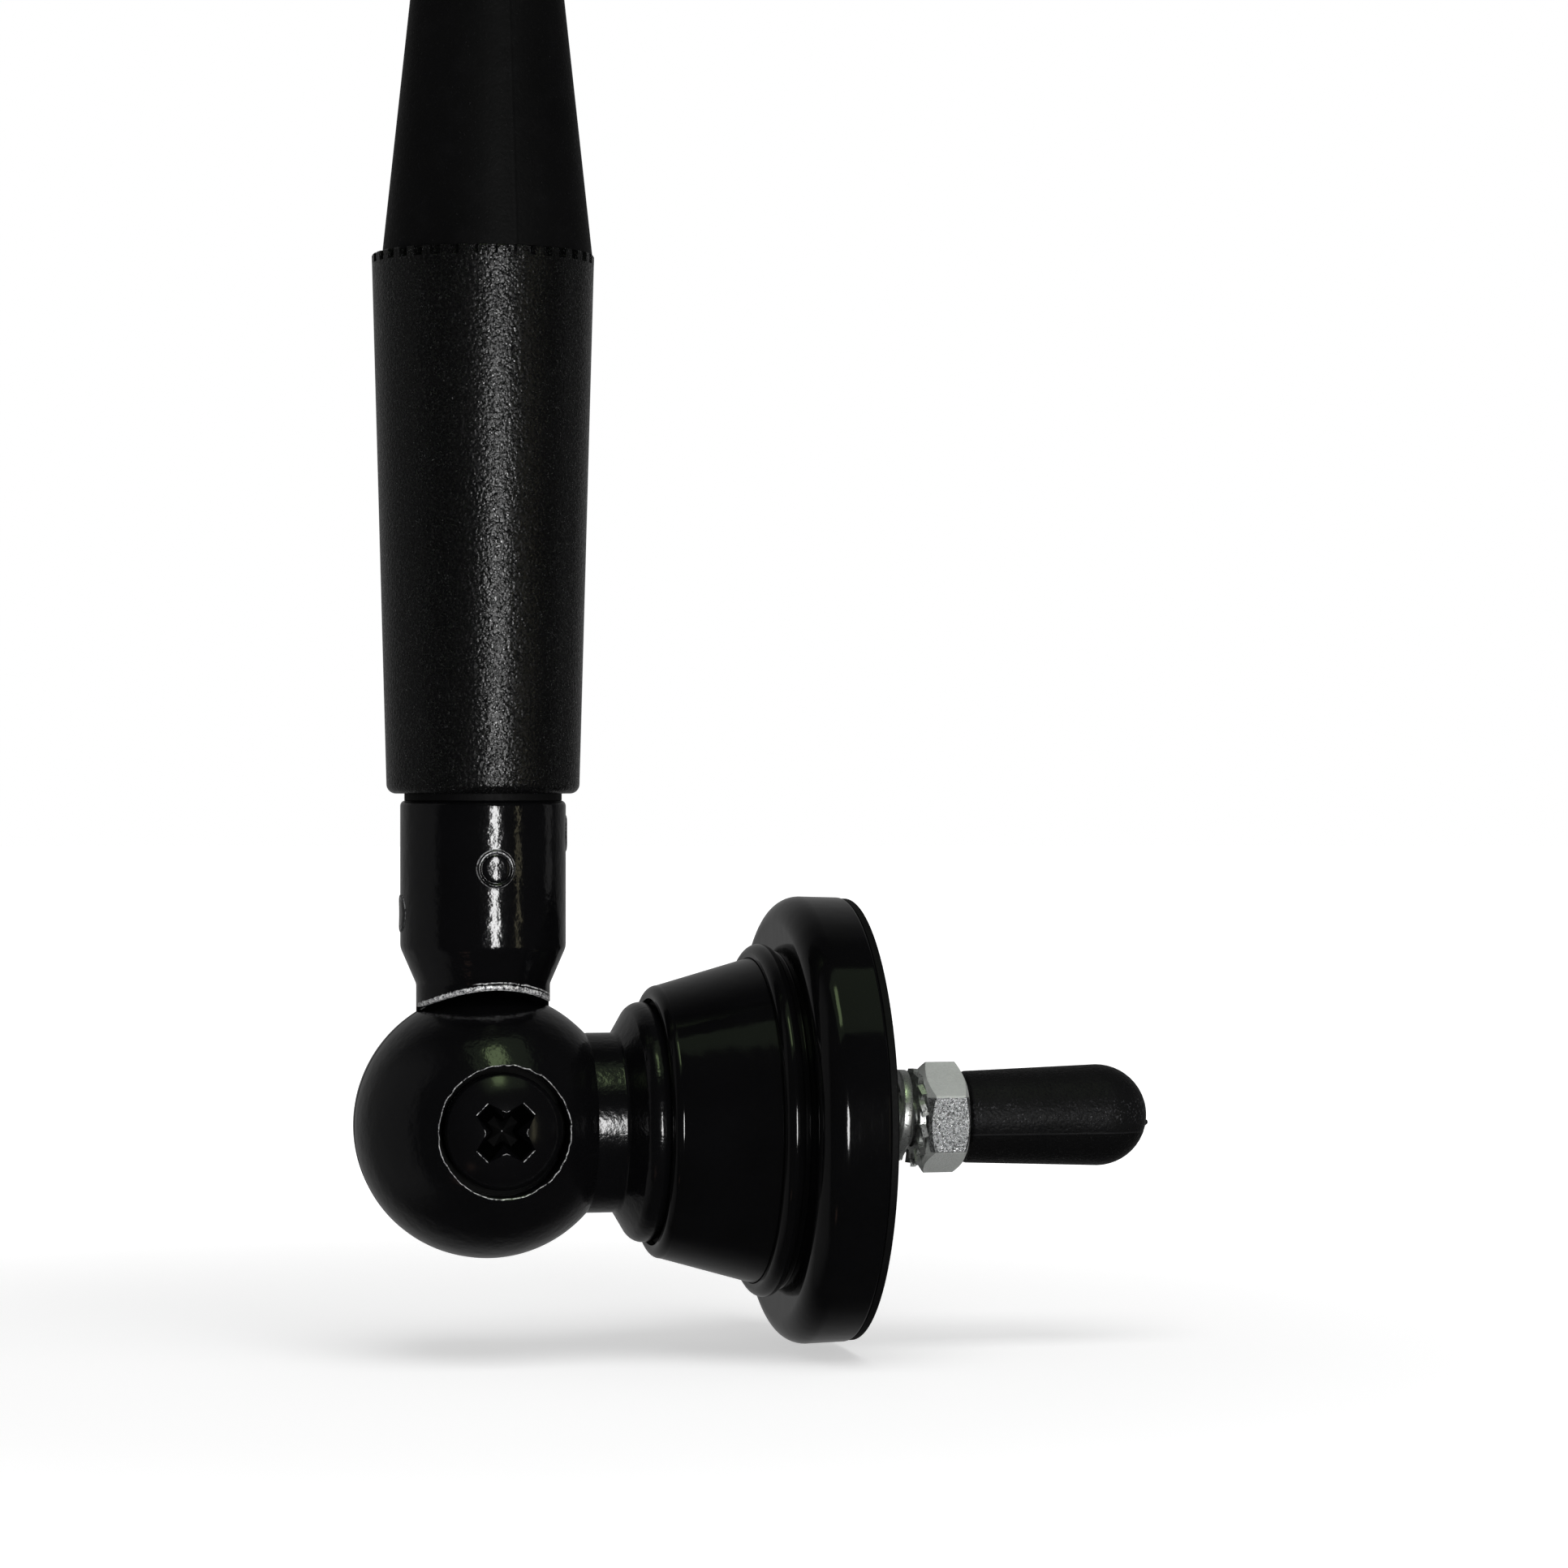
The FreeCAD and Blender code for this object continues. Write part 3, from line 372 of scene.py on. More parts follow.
# %% Values and finishes
class Value:
    """One number, colour or direction of a shader, as the socket that it comes from."""

    def __init__(self, shading, socket):
        self.shading, self.socket = shading, socket

    def math(self, operation, *others, clamp=False):
        """The Math node of that name with this value first, then the others."""
        inputs = {number: value for number, value in enumerate((self, *others))}
        return self.shading.node("ShaderNodeMath", inputs, operation=operation, use_clamp=clamp)

    def __add__(self, other):
        return self.math("ADD", other)

    def __sub__(self, other):
        return self.math("SUBTRACT", other)

    def __mul__(self, other):
        return self.math("MULTIPLY", other)

    def __pow__(self, other):
        return self.math("POWER", other)

    def __neg__(self):
        return self.math("MULTIPLY", -1.0)

    def __abs__(self):
        return self.math("ABSOLUTE")

    def __rsub__(self, other):
        return self.shading.node("ShaderNodeMath", {0: other, 1: self}, operation="SUBTRACT")

    __radd__ = __add__
    __rmul__ = __mul__

    def least(self, other):
        return self.math("MINIMUM", other)

    def most(self, other):
        return self.math("MAXIMUM", other)

    def clamped(self):
        return self.math("ADD", 0.0, clamp=True)

    def step(self, low, high):
        """Nought below low and one above high, with a smooth way between them."""
        inputs = {"Value": self, "From Min": low, "From Max": high}
        return self.shading.node("ShaderNodeMapRange", inputs, interpolation_type="SMOOTHSTEP")

    def under(self, low, high):
        """One below low and nought above high."""
        return 1 - self.step(low, high)

    def around(self, centre, full, none):
        """One within the distance full of the centre, and nought beyond the distance none."""
        return abs(self - centre).under(full, none)


def length(first, second):
    """The root of the sum of two squares."""
    return (first * first + second * second) ** 0.5


def spelled(name):
    """The name of a socket from the name of an argument."""
    return name.replace("_", " ").title().replace("Ior", "IOR")


class Shading:
    """A node tree, emptied, with short ways to fill it."""

    def __init__(self, tree):
        self.tree = tree
        tree.nodes.clear()

    def node(self, kind, inputs=None, output=0, **settings):
        """Any node: its settings first, then the values or links of its sockets, and one output back."""
        made = self.tree.nodes.new(kind)
        for name, value in settings.items():
            setattr(made, name, value)
        for name, value in (inputs or {}).items():
            if isinstance(value, Value):
                self.tree.links.new(value.socket, made.inputs[name])
            else:
                made.inputs[name].default_value = value
        return Value(self, made.outputs[output])

    def split(self, vector):
        """The three numbers of a vector."""
        made = self.tree.nodes.new("ShaderNodeSeparateXYZ")
        self.tree.links.new(vector.socket, made.inputs[0])
        return [Value(self, socket) for socket in made.outputs]

    def show(self, kind, socket):
        """The output node of that kind, showing what a socket gives."""
        self.tree.links.new(socket, self.tree.nodes.new(kind).inputs[0])


class Finish(Shading):
    """A material round one Principled shader, with short ways to its patterns."""

    def __init__(self, name, **fixed):
        self.material = bpy.data.materials.new(name)
        self.material.use_nodes = True
        super().__init__(self.material.node_tree)
        self.shader = self.tree.nodes.new("ShaderNodeBsdfPrincipled")
        self.show("ShaderNodeOutputMaterial", self.shader.outputs[0])
        for name, value in fixed.items():
            self.shader.inputs[spelled(name)].default_value = value
        self.place = self.node("ShaderNodeTexCoord", output="Object")

    def noise(self, scale, detail=2.0, roughness=0.5, stretch=None):
        """Blender's Noise at a scale of so many waves to the metre, from nought to one."""
        place = self.place
        if stretch is not None:
            place = self.node("ShaderNodeVectorMath", {0: place, 1: stretch}, operation="MULTIPLY")
        inputs = {"Vector": place, "Scale": scale, "Detail": detail, "Roughness": roughness}
        return self.node("ShaderNodeTexNoise", inputs)

    def cells(self, scale):
        """The distance to the nearest of the Voronoi texture's points."""
        return self.node("ShaderNodeTexVoronoi", {"Vector": self.place, "Scale": scale})

    def parts(self):
        """The three object coordinates in millimetres from the centre of the ball."""
        x, y, z = (value * (1 / MILLIMETRE) for value in self.split(self.place))
        return x + BALL_TO_FACE, y, z

    def mix(self, factor, first, second):
        """A colour between two: the first where the factor is nought, the second where it is one."""
        inputs = {0: factor}
        for socket, colour in ((6, first), (7, second)):
            inputs[socket] = colour if isinstance(colour, Value) else (*colour, 1.0)
        return self.node("ShaderNodeMix", inputs, output=2, data_type="RGBA")

    def bump(self, height, distance):
        """A bump at full strength whose height of one stands for a distance in metres."""
        return self.node("ShaderNodeBump", {"Height": height, "Distance": distance, "Strength": 1.0})

    def feed(self, **sockets):
        """Links values to the shader's own sockets and gives the material back."""
        for name, value in sockets.items():
            self.tree.links.new(value.socket, self.shader.inputs[spelled(name)])
        return self.material


# %% [markdown]
# ## Black rubber
#
# Grip, mast and cap are moulded in tools with a spark-eroded skin, so the rubber is matt with a very fine
# grain, and single grains flash in the light. A noise of about a seventh of a millimetre gives the grain.
# Where a second noise is high, the roughness falls, and those spots are the flashes. They are also drawn a
# little lighter, a painted glint.

# %% Rubber finishes
def rubber(name, grain, depth, flash, roughness, dark=0.002, light=0.0045, specular=0.12, seam=None):
    """Moulded rubber: grain is its waves to the metre, depth its relief, flash the share of shiny grains.

    A seam is the height in millimetres of the line where the mould's halves met. Under it the rubber is
    drawn darker, a painted shade; the line itself stands out a little and is drawn a little lighter; and
    above it, on the near side, lighter grains make a band of painted glints.
    """
    made = Finish(name, specular_ior_level=specular)
    skin = made.noise(grain, detail=1.0)
    shiny_grains_and_painted_glints = made.noise(grain * 1.35, detail=1.0).step(0.70 - flash, 0.80 - flash)
    cloud = made.noise(90.0, detail=4.0)
    handled = made.noise(420.0, detail=3.0).step(0.45, 0.75)
    tone = (cloud * 0.7 + handled * 0.3).clamped()
    colour = made.mix(tone, (dark, dark, dark * 1.04), (light, light, light * 1.05))
    # Painted glint: the shiny grains are drawn a little lighter.
    colour = made.mix(shiny_grains_and_painted_glints * 0.12, colour, (0.016, 0.016, 0.017))
    shine = roughness + (skin - 0.5) * 0.2 - shiny_grains_and_painted_glints * 0.26 + (cloud - 0.5) * 0.08
    height = skin + shiny_grains_and_painted_glints * 0.6
    if seam is not None:
        _, y, z = made.parts()
        below, line = z.under(seam - 0.05, seam + 0.05), z.around(seam, 0.03, 0.12)
        # Painted highlight: a band of lighter grains just above the seam, on the near side.
        painted_glint_band = z.step(-0.9, -0.2) * z.under(1.4, 2.4) * y.under(-3.0, -1.5) * shiny_grains_and_painted_glints * cloud.step(0.3, 0.6)
        # Painted shade: the rubber is drawn darker under the seam.
        colour = made.mix(below * 0.6, colour, (dark * 0.7,) * 3)
        # The band of painted glints and the lighter seam line go into the colour here.
        colour = made.mix((painted_glint_band * 0.9 + line * 0.25).clamped(), colour, (0.035, 0.035, 0.037))
        height = height + line * 0.8
    relief = made.bump(height, depth)
    return made.feed(base_color=colour, roughness=shine.clamped(), normal=relief)


FINE_GRAIN, DEEP, SHALLOW = 3000.0, 0.00008, 0.00003
CAP_SEAM = -1.65
grip_rubber = rubber("grip_rubber", FINE_GRAIN, DEEP, 0.18, 0.29, dark=0.0010, light=0.0028, specular=0.33)
mast_rubber = rubber("mast_rubber", 2600.0, SHALLOW, 0.05, 0.46, specular=0.06)
cap_rubber = rubber("cap_rubber", FINE_GRAIN, DEEP, 0.12, 0.42, 0.0035, 0.007, specular=0.08, seam=CAP_SEAM)
seal_rubber = rubber("seal_rubber", FINE_GRAIN, SHALLOW, 0.02, 0.6)
print("rubber finishes:", grip_rubber.name, mast_rubber.name, cap_rubber.name, seal_rubber.name)

# %% [markdown]
# ## Gloss black castings
#
# The two halves of the ball joint are die-cast and painted. Sprayed paint never lies quite flat: it has the
# soft waves that painters call orange peel, which break every highlight into a grainy edge. Where the halves
# rub or an edge is touched, the paint is gone and bright metal shows. Each such place is a simple distance,
# such as the distance from the swivel's axis for the saddle and for the rim of the screw's hole.

# %% The painted finish
# Distances from the swivel's axis, and how far out along it the rim of the hole lies
SADDLE_RADIUS, SADDLE_EDGE, SECOND_LINE = 14.2, 14.25, 15.02
HOLE_RADIUS, HOLE_RIM = 6.74, 11.9


def paint_with_wear_and_painted_highlights(name, masks, relief=0.00006, gloss=0.11):
    """Gloss paint that is bare metal where one of the masks is high, and dull where the dull mask is.

    Masks is a function of the finish and of two noises, a ragged one and a wobble for lines. It gives back
    the bare masks, of which the highest counts, and the dull one or nothing.
    Bare metal is scuffed, so a little less than half of it mirrors and the rest scatters. It is worn paint
    on the castings and the pins, and painted highlights on the screw. A dull spot is nearly black metal,
    which mirrors almost nothing, so it is drawn dark.
    """
    made = Finish(name, specular_ior_level=0.40)
    slow = made.noise(620.0, detail=1.0)
    peel = made.noise(2500.0, detail=1.0)
    nibs = made.noise(9000.0, detail=2.0)
    cloud = made.noise(120.0, detail=4.0)
    wobble = made.noise(1100.0, detail=1.0)
    ragged = made.noise(2600.0, detail=3.0, roughness=0.7)
    speckle = made.noise(3300.0, detail=3.0, roughness=0.8)
    # The bright masks: worn paint on the castings and the pins, painted highlights on the screw.
    bare_masks, dull = masks(made, ragged, wobble)
    bare = bare_masks[0]
    for mask in bare_masks[1:]:
        bare = bare.most(mask)
    bare = (bare * speckle.step(0.36, 0.47)).clamped()
    paint = made.mix(cloud, (0.0012, 0.0012, 0.0014), (0.0030, 0.0030, 0.0034))
    metal = made.mix(speckle.step(0.40, 0.62), (0.22, 0.22, 0.23), (1.0, 1.0, 1.0))
    colour = made.mix(bare, paint, metal)
    shine = gloss + (cloud - 0.5) * 0.05 + nibs.step(0.6, 0.8) * 0.12 + bare * 0.3
    mirror = bare * 0.45
    if dull is not None:
        dull = dull * (1 - bare)
        colour = made.mix(dull, colour, (0.0012, 0.0012, 0.0012))
        shine, mirror = shine + dull * 0.4, mirror + dull * 0.88
    bumps = made.bump(slow * 0.75 + peel * 0.34 + nibs * 0.06, relief)
    return made.feed(base_color=colour, metallic=mirror.clamped(), roughness=shine.clamped(), normal=bumps)


def near_half_wear(made, ragged, wobble):
    """The rim of the hole for the screw, close to its radius and on the outer side of the ball.

    Inside the hole, on its floor and on its wall, the paint is dull.
    """
    x, y, z = made.parts()
    from_axis = length(x, z)
    rim = (from_axis + (wobble - 0.5) * 0.34).around(HOLE_RADIUS + 0.10, 0.0, 0.065)
    inside = from_axis.under(HOLE_RADIUS - 0.03, HOLE_RADIUS + 0.03) * (-y).step(8.0, 8.5)
    return [rim * (-y).step(HOLE_RIM - 0.04, HOLE_RIM + 0.04)], inside


def mast_half_wear(made, ragged, wobble):
    """The saddle under the stem and a thin second line above it, both on the near side."""
    x, y, z = made.parts()
    from_axis = length(x, z)
    near = (-y).step(0.3, 1.2)
    width = 0.56 + (ragged - 0.5) * 0.5
    above_band = (from_axis - SADDLE_RADIUS - width).step(-0.06, 0.06)
    band = near * (1 - above_band) * from_axis.step(SADDLE_EDGE - 0.03, SADDLE_EDGE + 0.03)
    line = (from_axis + (wobble - 0.5) * 0.2).around(SECOND_LINE, 0.03, 0.09)
    right_of_middle = x.step(-2.6, -1.6)
    return [band, near * line * right_of_middle * ragged.step(0.36, 0.48)], None


near_paint = paint_with_wear_and_painted_highlights("near_half_paint", near_half_wear, gloss=0.15)
mast_paint = paint_with_wear_and_painted_highlights("mast_half_paint", mast_half_wear)
print("painted finishes:", near_paint.name, mast_paint.name)

# %% [markdown]
# The cone and the flange are polished plastic: the same black, but no peel and hardly a wave, so their
# highlights are crisp. Fine scratches run round them from wiping.

# %% Gloss plastic and the screw's blacking
def gloss(name, waves, scratch, roughness):
    """Polished black: long soft waves and a faint scratch pattern in the roughness."""
    made = Finish(name, specular_ior_level=0.32)
    cloud = made.noise(160.0, detail=4.0)
    long_wave = made.noise(420.0, detail=1.0)
    wiped = made.noise(900.0, detail=3.0, stretch=(6.0, 0.5, 0.5)).step(0.55, 0.8)
    dust = made.cells(2400.0).step(0.0, 0.11)
    colour = made.mix(cloud, (0.0012, 0.0012, 0.0013), (0.0026, 0.0026, 0.0029))
    colour = made.mix((1 - dust) * 0.3, colour, (0.02, 0.02, 0.02))
    shine = roughness + wiped * scratch + (1 - dust) * 0.2 + (cloud - 0.5) * 0.03
    relief = made.bump(long_wave * waves + made.noise(5000.0) * 0.05, 0.00004)
    return made.feed(base_color=colour, roughness=shine.clamped(), normal=relief)


# The cross where the strokes lie, and the stations between which the head's face starts
WING_END, HEART_CORNER, WING_HALF = 3.42, 2.12, 0.95
FACE_LOW, FACE_HIGH = 12.40, 12.48


def screw_highlights_and_dark_recess(made, ragged, wobble):
    """Painted highlights, drawn as bright strokes on the recess's edges: the four wings' ends, the heart's
    corners, the middle.

    Along the diagonals a wing ends at a fixed reach. Between the wings the heart's corner lies on an axis.
    """
    x, y, z = made.parts()
    first, second = abs(x + z) * math.sqrt(0.5), abs(x - z) * math.sqrt(0.5)
    right, up = abs(x), abs(z)
    surface = (-y).step(FACE_LOW, FACE_HIGH)
    # Painted highlights where the recess's edges would catch the light, drawn as bright metal.
    strokes = [length(x, z).under(0.03, 0.10)]
    for along, across in ((first, second), (second, first)):
        strokes.append(along.around(WING_END, 0.0, 0.06) * across.under(0.74, 0.88) * surface)
    for along, across in ((right, up), (up, right)):
        corner = (along - across * 0.35).around(HEART_CORNER, 0.0, 0.055)
        strokes.append(corner * across.under(0.30, 0.46) * surface * 0.7)
    wings = first.least(second).under(WING_HALF - 0.05, WING_HALF + 0.05)
    recess = wings * first.most(second).under(WING_END - 0.12, WING_END)
    return strokes, recess * (-y).under(FACE_LOW - 0.2, FACE_LOW)


gloss_plastic = gloss("gloss_plastic", 0.6, 0.06, 0.09)
screw_black = paint_with_wear_and_painted_highlights("screw_black", screw_highlights_and_dark_recess, relief=0.000012, gloss=0.17)
print("gloss finishes:", gloss_plastic.name, screw_black.name)

# %% [markdown]
# ## Zinc and the hidden materials
#
# Stud, nut and washers are zinc-plated. The plating is crystalline, so the light breaks up into grains on
# it. Inside the object there are nylon, fibreglass and copper, which show only when a reader takes the
# model apart, but each still has its own grain.

# %% Metals and the rest
def plated(name, dark, light, grain, roughness, metallic=1.0, depth=0.00002, scuffed=None):
    """Grained metal: a colour between two, broken by a fine crystal pattern and by slow stains.

    Scuffed is half the height of a band on the near face that is drawn darker with single crystals drawn
    bright: a painted dark reflection with painted glints.
    """
    made = Finish(name, metallic=metallic, specular_ior_level=0.3)
    crystal = made.noise(grain, detail=3.0, roughness=0.75)
    glint = made.noise(grain * 1.6, detail=1.0).step(0.56, 0.70)
    stain = made.noise(300.0, detail=4.0)
    colour = made.mix((crystal * 0.6 + stain * 0.4).clamped(), dark, light)
    shine = roughness + (crystal - 0.5) * 0.25 - glint * roughness * 0.5
    varied = {}
    if scuffed is not None:
        _, y, z = made.parts()
        # Painted glints over a painted dark reflection, on the nut's near face.
        rubbed = z.around(-0.5, scuffed - 0.06, scuffed + 0.06) * (-y).step(4.0, 4.4)
        painted_sparkle = made.noise(3900.0, detail=3.0, roughness=0.7).step(0.30, 0.72)
        colour = made.mix(rubbed, colour, made.mix(painted_sparkle, (0.06, 0.062, 0.062), (0.50, 0.51, 0.515)))
        shine, varied["metallic"] = shine - rubbed * 0.30, rubbed * 0.42 + metallic
    relief = made.bump(crystal, depth)
    return made.feed(base_color=colour, roughness=shine.clamped(), normal=relief, **varied)


zinc_colours = (0.38, 0.395, 0.38), (0.66, 0.68, 0.66)
# On the nut, scuffed paints glints and a dark reflection on its near face.
zinc = plated("zinc_plating", *zinc_colours, 3200.0, 0.60, metallic=0.35, depth=0.00010, scuffed=2.9)
bright_colours = (0.16, 0.165, 0.16), (0.70, 0.72, 0.70)
bright_zinc = plated("bright_zinc", *bright_colours, 3400.0, 0.34, metallic=0.9, depth=0.00003)
copper = plated("copper", (0.45, 0.18, 0.09), (0.85, 0.45, 0.28), 3000.0, 0.3)
nylon = plated("nylon", (0.55, 0.53, 0.48), (0.74, 0.72, 0.66), 1800.0, 0.5, metallic=0.0)
fibreglass = plated("fibreglass", (0.58, 0.54, 0.42), (0.78, 0.75, 0.62), 2600.0, 0.45, metallic=0.0)
print("other finishes:", ", ".join(made.name for made in (zinc, bright_zinc, copper, nylon, fibreglass)))

# %% [markdown]
# ## Upper mast
#
# The mast is a long rubber cone that runs out into a slim whip with a round tip. Its mould had two halves,
# and where they met, a hair-fine ridge runs up the rubber. So the radius depends on the angle as well as on
# the height, and the grid's columns crowd together at the ridge, where a fine form needs them.

# %% The mast's skin
GRIP_TOP = 90.6
MAST_TOP, TIP_RADIUS = 349.6, 3.95
# Distance from the axis and height, and for the hollow bend its rounding and bow too
MAST_FOOT, BEND_START, WHIP_START = (10.95, GRIP_TOP), (4.95, 145.6, 0, -130.0), (4.25, 159.6)
STEM_SHIFT = -0.4
MAST_SHIFT = 0.05
RIDGE_ANGLES = np.radians([-83.0, 97.0])
RIDGE_WIDTH, RIDGE_HEIGHT = 0.16, 0.035


def crowded(angles, tight, count=144, extra=10):
    """Column angles round the axis, even, plus a few close together on each side of every given angle."""
    even = np.arange(count) * (2 * np.pi / count)
    beside = np.geomspace(tight, tight * 12, extra)
    spread = np.concatenate([-beside[::-1], [0.0], beside])
    close = (np.asarray(angles)[:, None] + spread).ravel() % (2 * np.pi)
    return np.unique(np.round(np.concatenate([even, close]), 9))


def mast_outline():
    """Distance from the axis for each height: cone, a hollow bend, slim whip, and a quarter circle."""
    tip = (TIP_RADIUS, MAST_TOP - TIP_RADIUS, 0, TIP_RADIUS), (0.02, MAST_TOP)
    runs = outline([MAST_FOOT, BEND_START, WHIP_START, *tip])
    spots = np.concatenate([points[:-1] for points, _ in runs] + [runs[-1][0][-1:]])
    height = np.unique(np.concatenate([spots[:, 1], np.linspace(GRIP_TOP, MAST_TOP - 4, 90)]))
    return np.interp(height, spots[:, 1], spots[:, 0]), height


mast_radius, mast_height = mast_outline()
mast_angle = crowded(RIDGE_ANGLES, 0.004)
turn_from_ridge = np.abs((mast_angle[:, None] - RIDGE_ANGLES + np.pi) % (2 * np.pi) - np.pi).min(axis=1)
ridge = RIDGE_HEIGHT * np.exp(-((turn_from_ridge * mast_radius[:, None] / RIDGE_WIDTH) ** 2))
skin_radius = mast_radius[:, None] + ridge * np.clip(mast_radius[:, None] / 3.0, 0, 1)
skin_x, skin_y = polar(skin_radius, mast_angle)
mast_grid = closed_grid(grid_of(MAST_SHIFT + skin_x, skin_y, mast_height[:, None]))
grid_piece("mast_skin", mast_grid, 40, "mast", ["upper_mast"], "black_rubber", mast_rubber)

# %% [markdown]
# ## Grip
#
# The grip is a thick rubber sleeve. Its upper rim is castellated: thirty-six small notches, so that fingers
# and tools find hold. The sleeve is a grid of angle and outline. Inside a notch the outline keeps to a
# smaller radius near the top, and the columns stand in pairs at the notch's walls to keep them steep.

# %% The grip's skin
GRIP_FOOT = 34.5
FOOT_RADIUS, TOP_RADIUS = 10.03, 11.58
FOOT_BORE, TOP_BORE = 6.2, 8.0
NOTCHES, NOTCH_WIDTH, NOTCH_HEIGHT, NOTCH_DEPTH = 36, 0.95, 1.0, 0.95
NOTCH_PHASE = 6.0


def grip_skin():
    """Grid of the grip: rows along its half outline, columns round it.

    In a notch a point higher than the notch's floor is drawn in to the notch's back wall.
    """
    half_turn = math.asin(NOTCH_WIDTH / 2 / TOP_RADIUS)
    blend = 0.006
    floor_columns = np.linspace(-0.9, 0.9, 9) * half_turn
    wall_columns = [-half_turn - blend, -half_turn, half_turn, half_turn + blend]
    pitch = 2 * np.pi / NOTCHES
    local = np.unique(np.concatenate([floor_columns, wall_columns, [-pitch / 2, -pitch / 3, pitch / 3]]))
    angle = (np.radians(NOTCH_PHASE) + np.arange(NOTCHES)[:, None] * pitch + local).ravel()
    depth_share = np.tile(np.clip((half_turn + blend - np.abs(local)) / blend, 0, 1), NOTCHES)
    foot = (FOOT_BORE, GRIP_FOOT), (FOOT_RADIUS, GRIP_FOOT, 1.0)
    runs = outline([*foot, (TOP_RADIUS, GRIP_TOP, 0.22), (TOP_BORE, GRIP_TOP)])
    spots = np.concatenate([run[:-1] for run, _ in runs] + [runs[-1][0][-1:]])
    floor = GRIP_TOP - NOTCH_HEIGHT
    side = spots[spots[:, 1] < GRIP_TOP - 0.5]
    top = spots[spots[:, 1] >= GRIP_TOP - 0.5]
    slope = (TOP_RADIUS - FOOT_RADIUS) / (GRIP_TOP - GRIP_FOOT)
    rise = np.linspace(GRIP_FOOT + 2, floor - 0.5, 60)
    rise = np.concatenate([rise, [floor - 0.06, floor, floor + 0.06, floor + 0.5]])
    wall = np.stack([FOOT_RADIUS + slope * (rise - GRIP_FOOT), rise], axis=1)
    inner = np.linspace(TOP_RADIUS - 0.3, TOP_BORE, 8)
    top = np.concatenate([top[:-1], np.stack([inner, np.full_like(inner, GRIP_TOP)], axis=1)])
    spots = np.concatenate([side, wall, top])
    radius = np.broadcast_to(spots[:, :1], (len(spots), len(angle)))
    above = (spots[:, 1] > floor + 0.03)[:, None]
    drawn = np.minimum(radius, TOP_RADIUS - NOTCH_DEPTH)
    radius = np.where(above, radius + (drawn - radius) * depth_share, radius)
    x, y = polar(radius, angle)
    return grid_of(STEM_SHIFT + x, y, spots[:, 1:])


grip_grid = closed_grid(grip_skin())
grid_piece("grip_skin", grip_grid, 32, "mast", ["grip_sleeve"], "black_rubber", grip_rubber)

# %% [markdown]
# ## Mast's half of the ball joint
#
# One casting: the ferrule that holds the grip's plug, a stem, and the far half of the ball. On the near
# side the stem ends in a saddle, an arc round the swivel's axis, because the other half of the ball swings
# under it. The arc's edge is broken by a small bevel. The tool that cuts it is a bar round the swivel's
# axis whose radius grows as soon as it comes within the bevel's width of the stem's skin.

# %% Ferrule, stem, far ball and saddle
BALL_RADIUS, BALL_BEVEL, SEAM = 13.92, 0.12, 0.15
STEM_RADIUS, STEM_FOOT, STEM_END = 6.975, 7.0, 14.7
FERRULE_RADIUS, FERRULE_START, FERRULE_TOP = 8.625, 18.5, 33.8
SOCKET_RADIUS, SOCKET_FLOOR = 7.4, 20.3
BEVEL = 0.28

ferrule = Turning(
    [
        (0, STEM_FOOT),
        (STEM_RADIUS, STEM_FOOT),
        (STEM_RADIUS, STEM_END, 1.1),
        (FERRULE_RADIUS, FERRULE_START, 1.9),
        (FERRULE_RADIUS, FERRULE_TOP, 0.6),
        (SOCKET_RADIUS, FERRULE_TOP, 0.1),
        (SOCKET_RADIUS, SOCKET_FLOOR),
        (0, SOCKET_FLOOR),
    ],
    "Z",
    at=(STEM_SHIFT, 0, 0),
)
# Each half ball starts at the seam with a small bevel, and its sphere starts where the bevel ends
BALL_EDGE = [(BALL_RADIUS - BALL_BEVEL, SEAM), (BALL_RADIUS - 0.003, SEAM + BALL_BEVEL, 0, BALL_RADIUS)]
far_ball = Turning([(0, SEAM), *BALL_EDGE, (0, BALL_RADIUS)], "far")


def saddle_tool():
    """A bar round the swivel's axis on the near side, with the bevel along the stem's skin.

    Its radius is the saddle's, plus how far the point has come past the line where the bevel starts.
    """
    angle = circle(480)
    depth = np.concatenate([[-SEAM], np.linspace(0.3, 9.0, 110), [16.0]])[:, None]
    x = SADDLE_RADIUS * np.sin(angle)
    from_stem = np.hypot(x - STEM_SHIFT, depth)
    grown = np.clip(from_stem - (STEM_RADIUS - BEVEL), 0, 0.8) * (np.cos(angle) > 0.5)
    up, across = polar(SADDLE_RADIUS + grown, angle)
    return inside_out(closed_grid(grid_of(across, -depth, up)))


mast_half = carved("mast_half", ferrule, [("DIFFERENCE", saddle_tool()), ("UNION", far_ball)])
piece("mast_half", mast_half, "mast", ["mast_knuckle"], "black_gloss_metal", mast_paint)

# %% [markdown]
# ## Base's half of the ball joint
#
# The near half of the ball is turned round the swivel's axis, hole and all, so the hole's rim is a corner of
# its outline and can have its own small bevel. Neck, bell and tail are turned round the stud's axis. On the
# far side the neck is hollowed by a ball, so that the mast's half swings there.

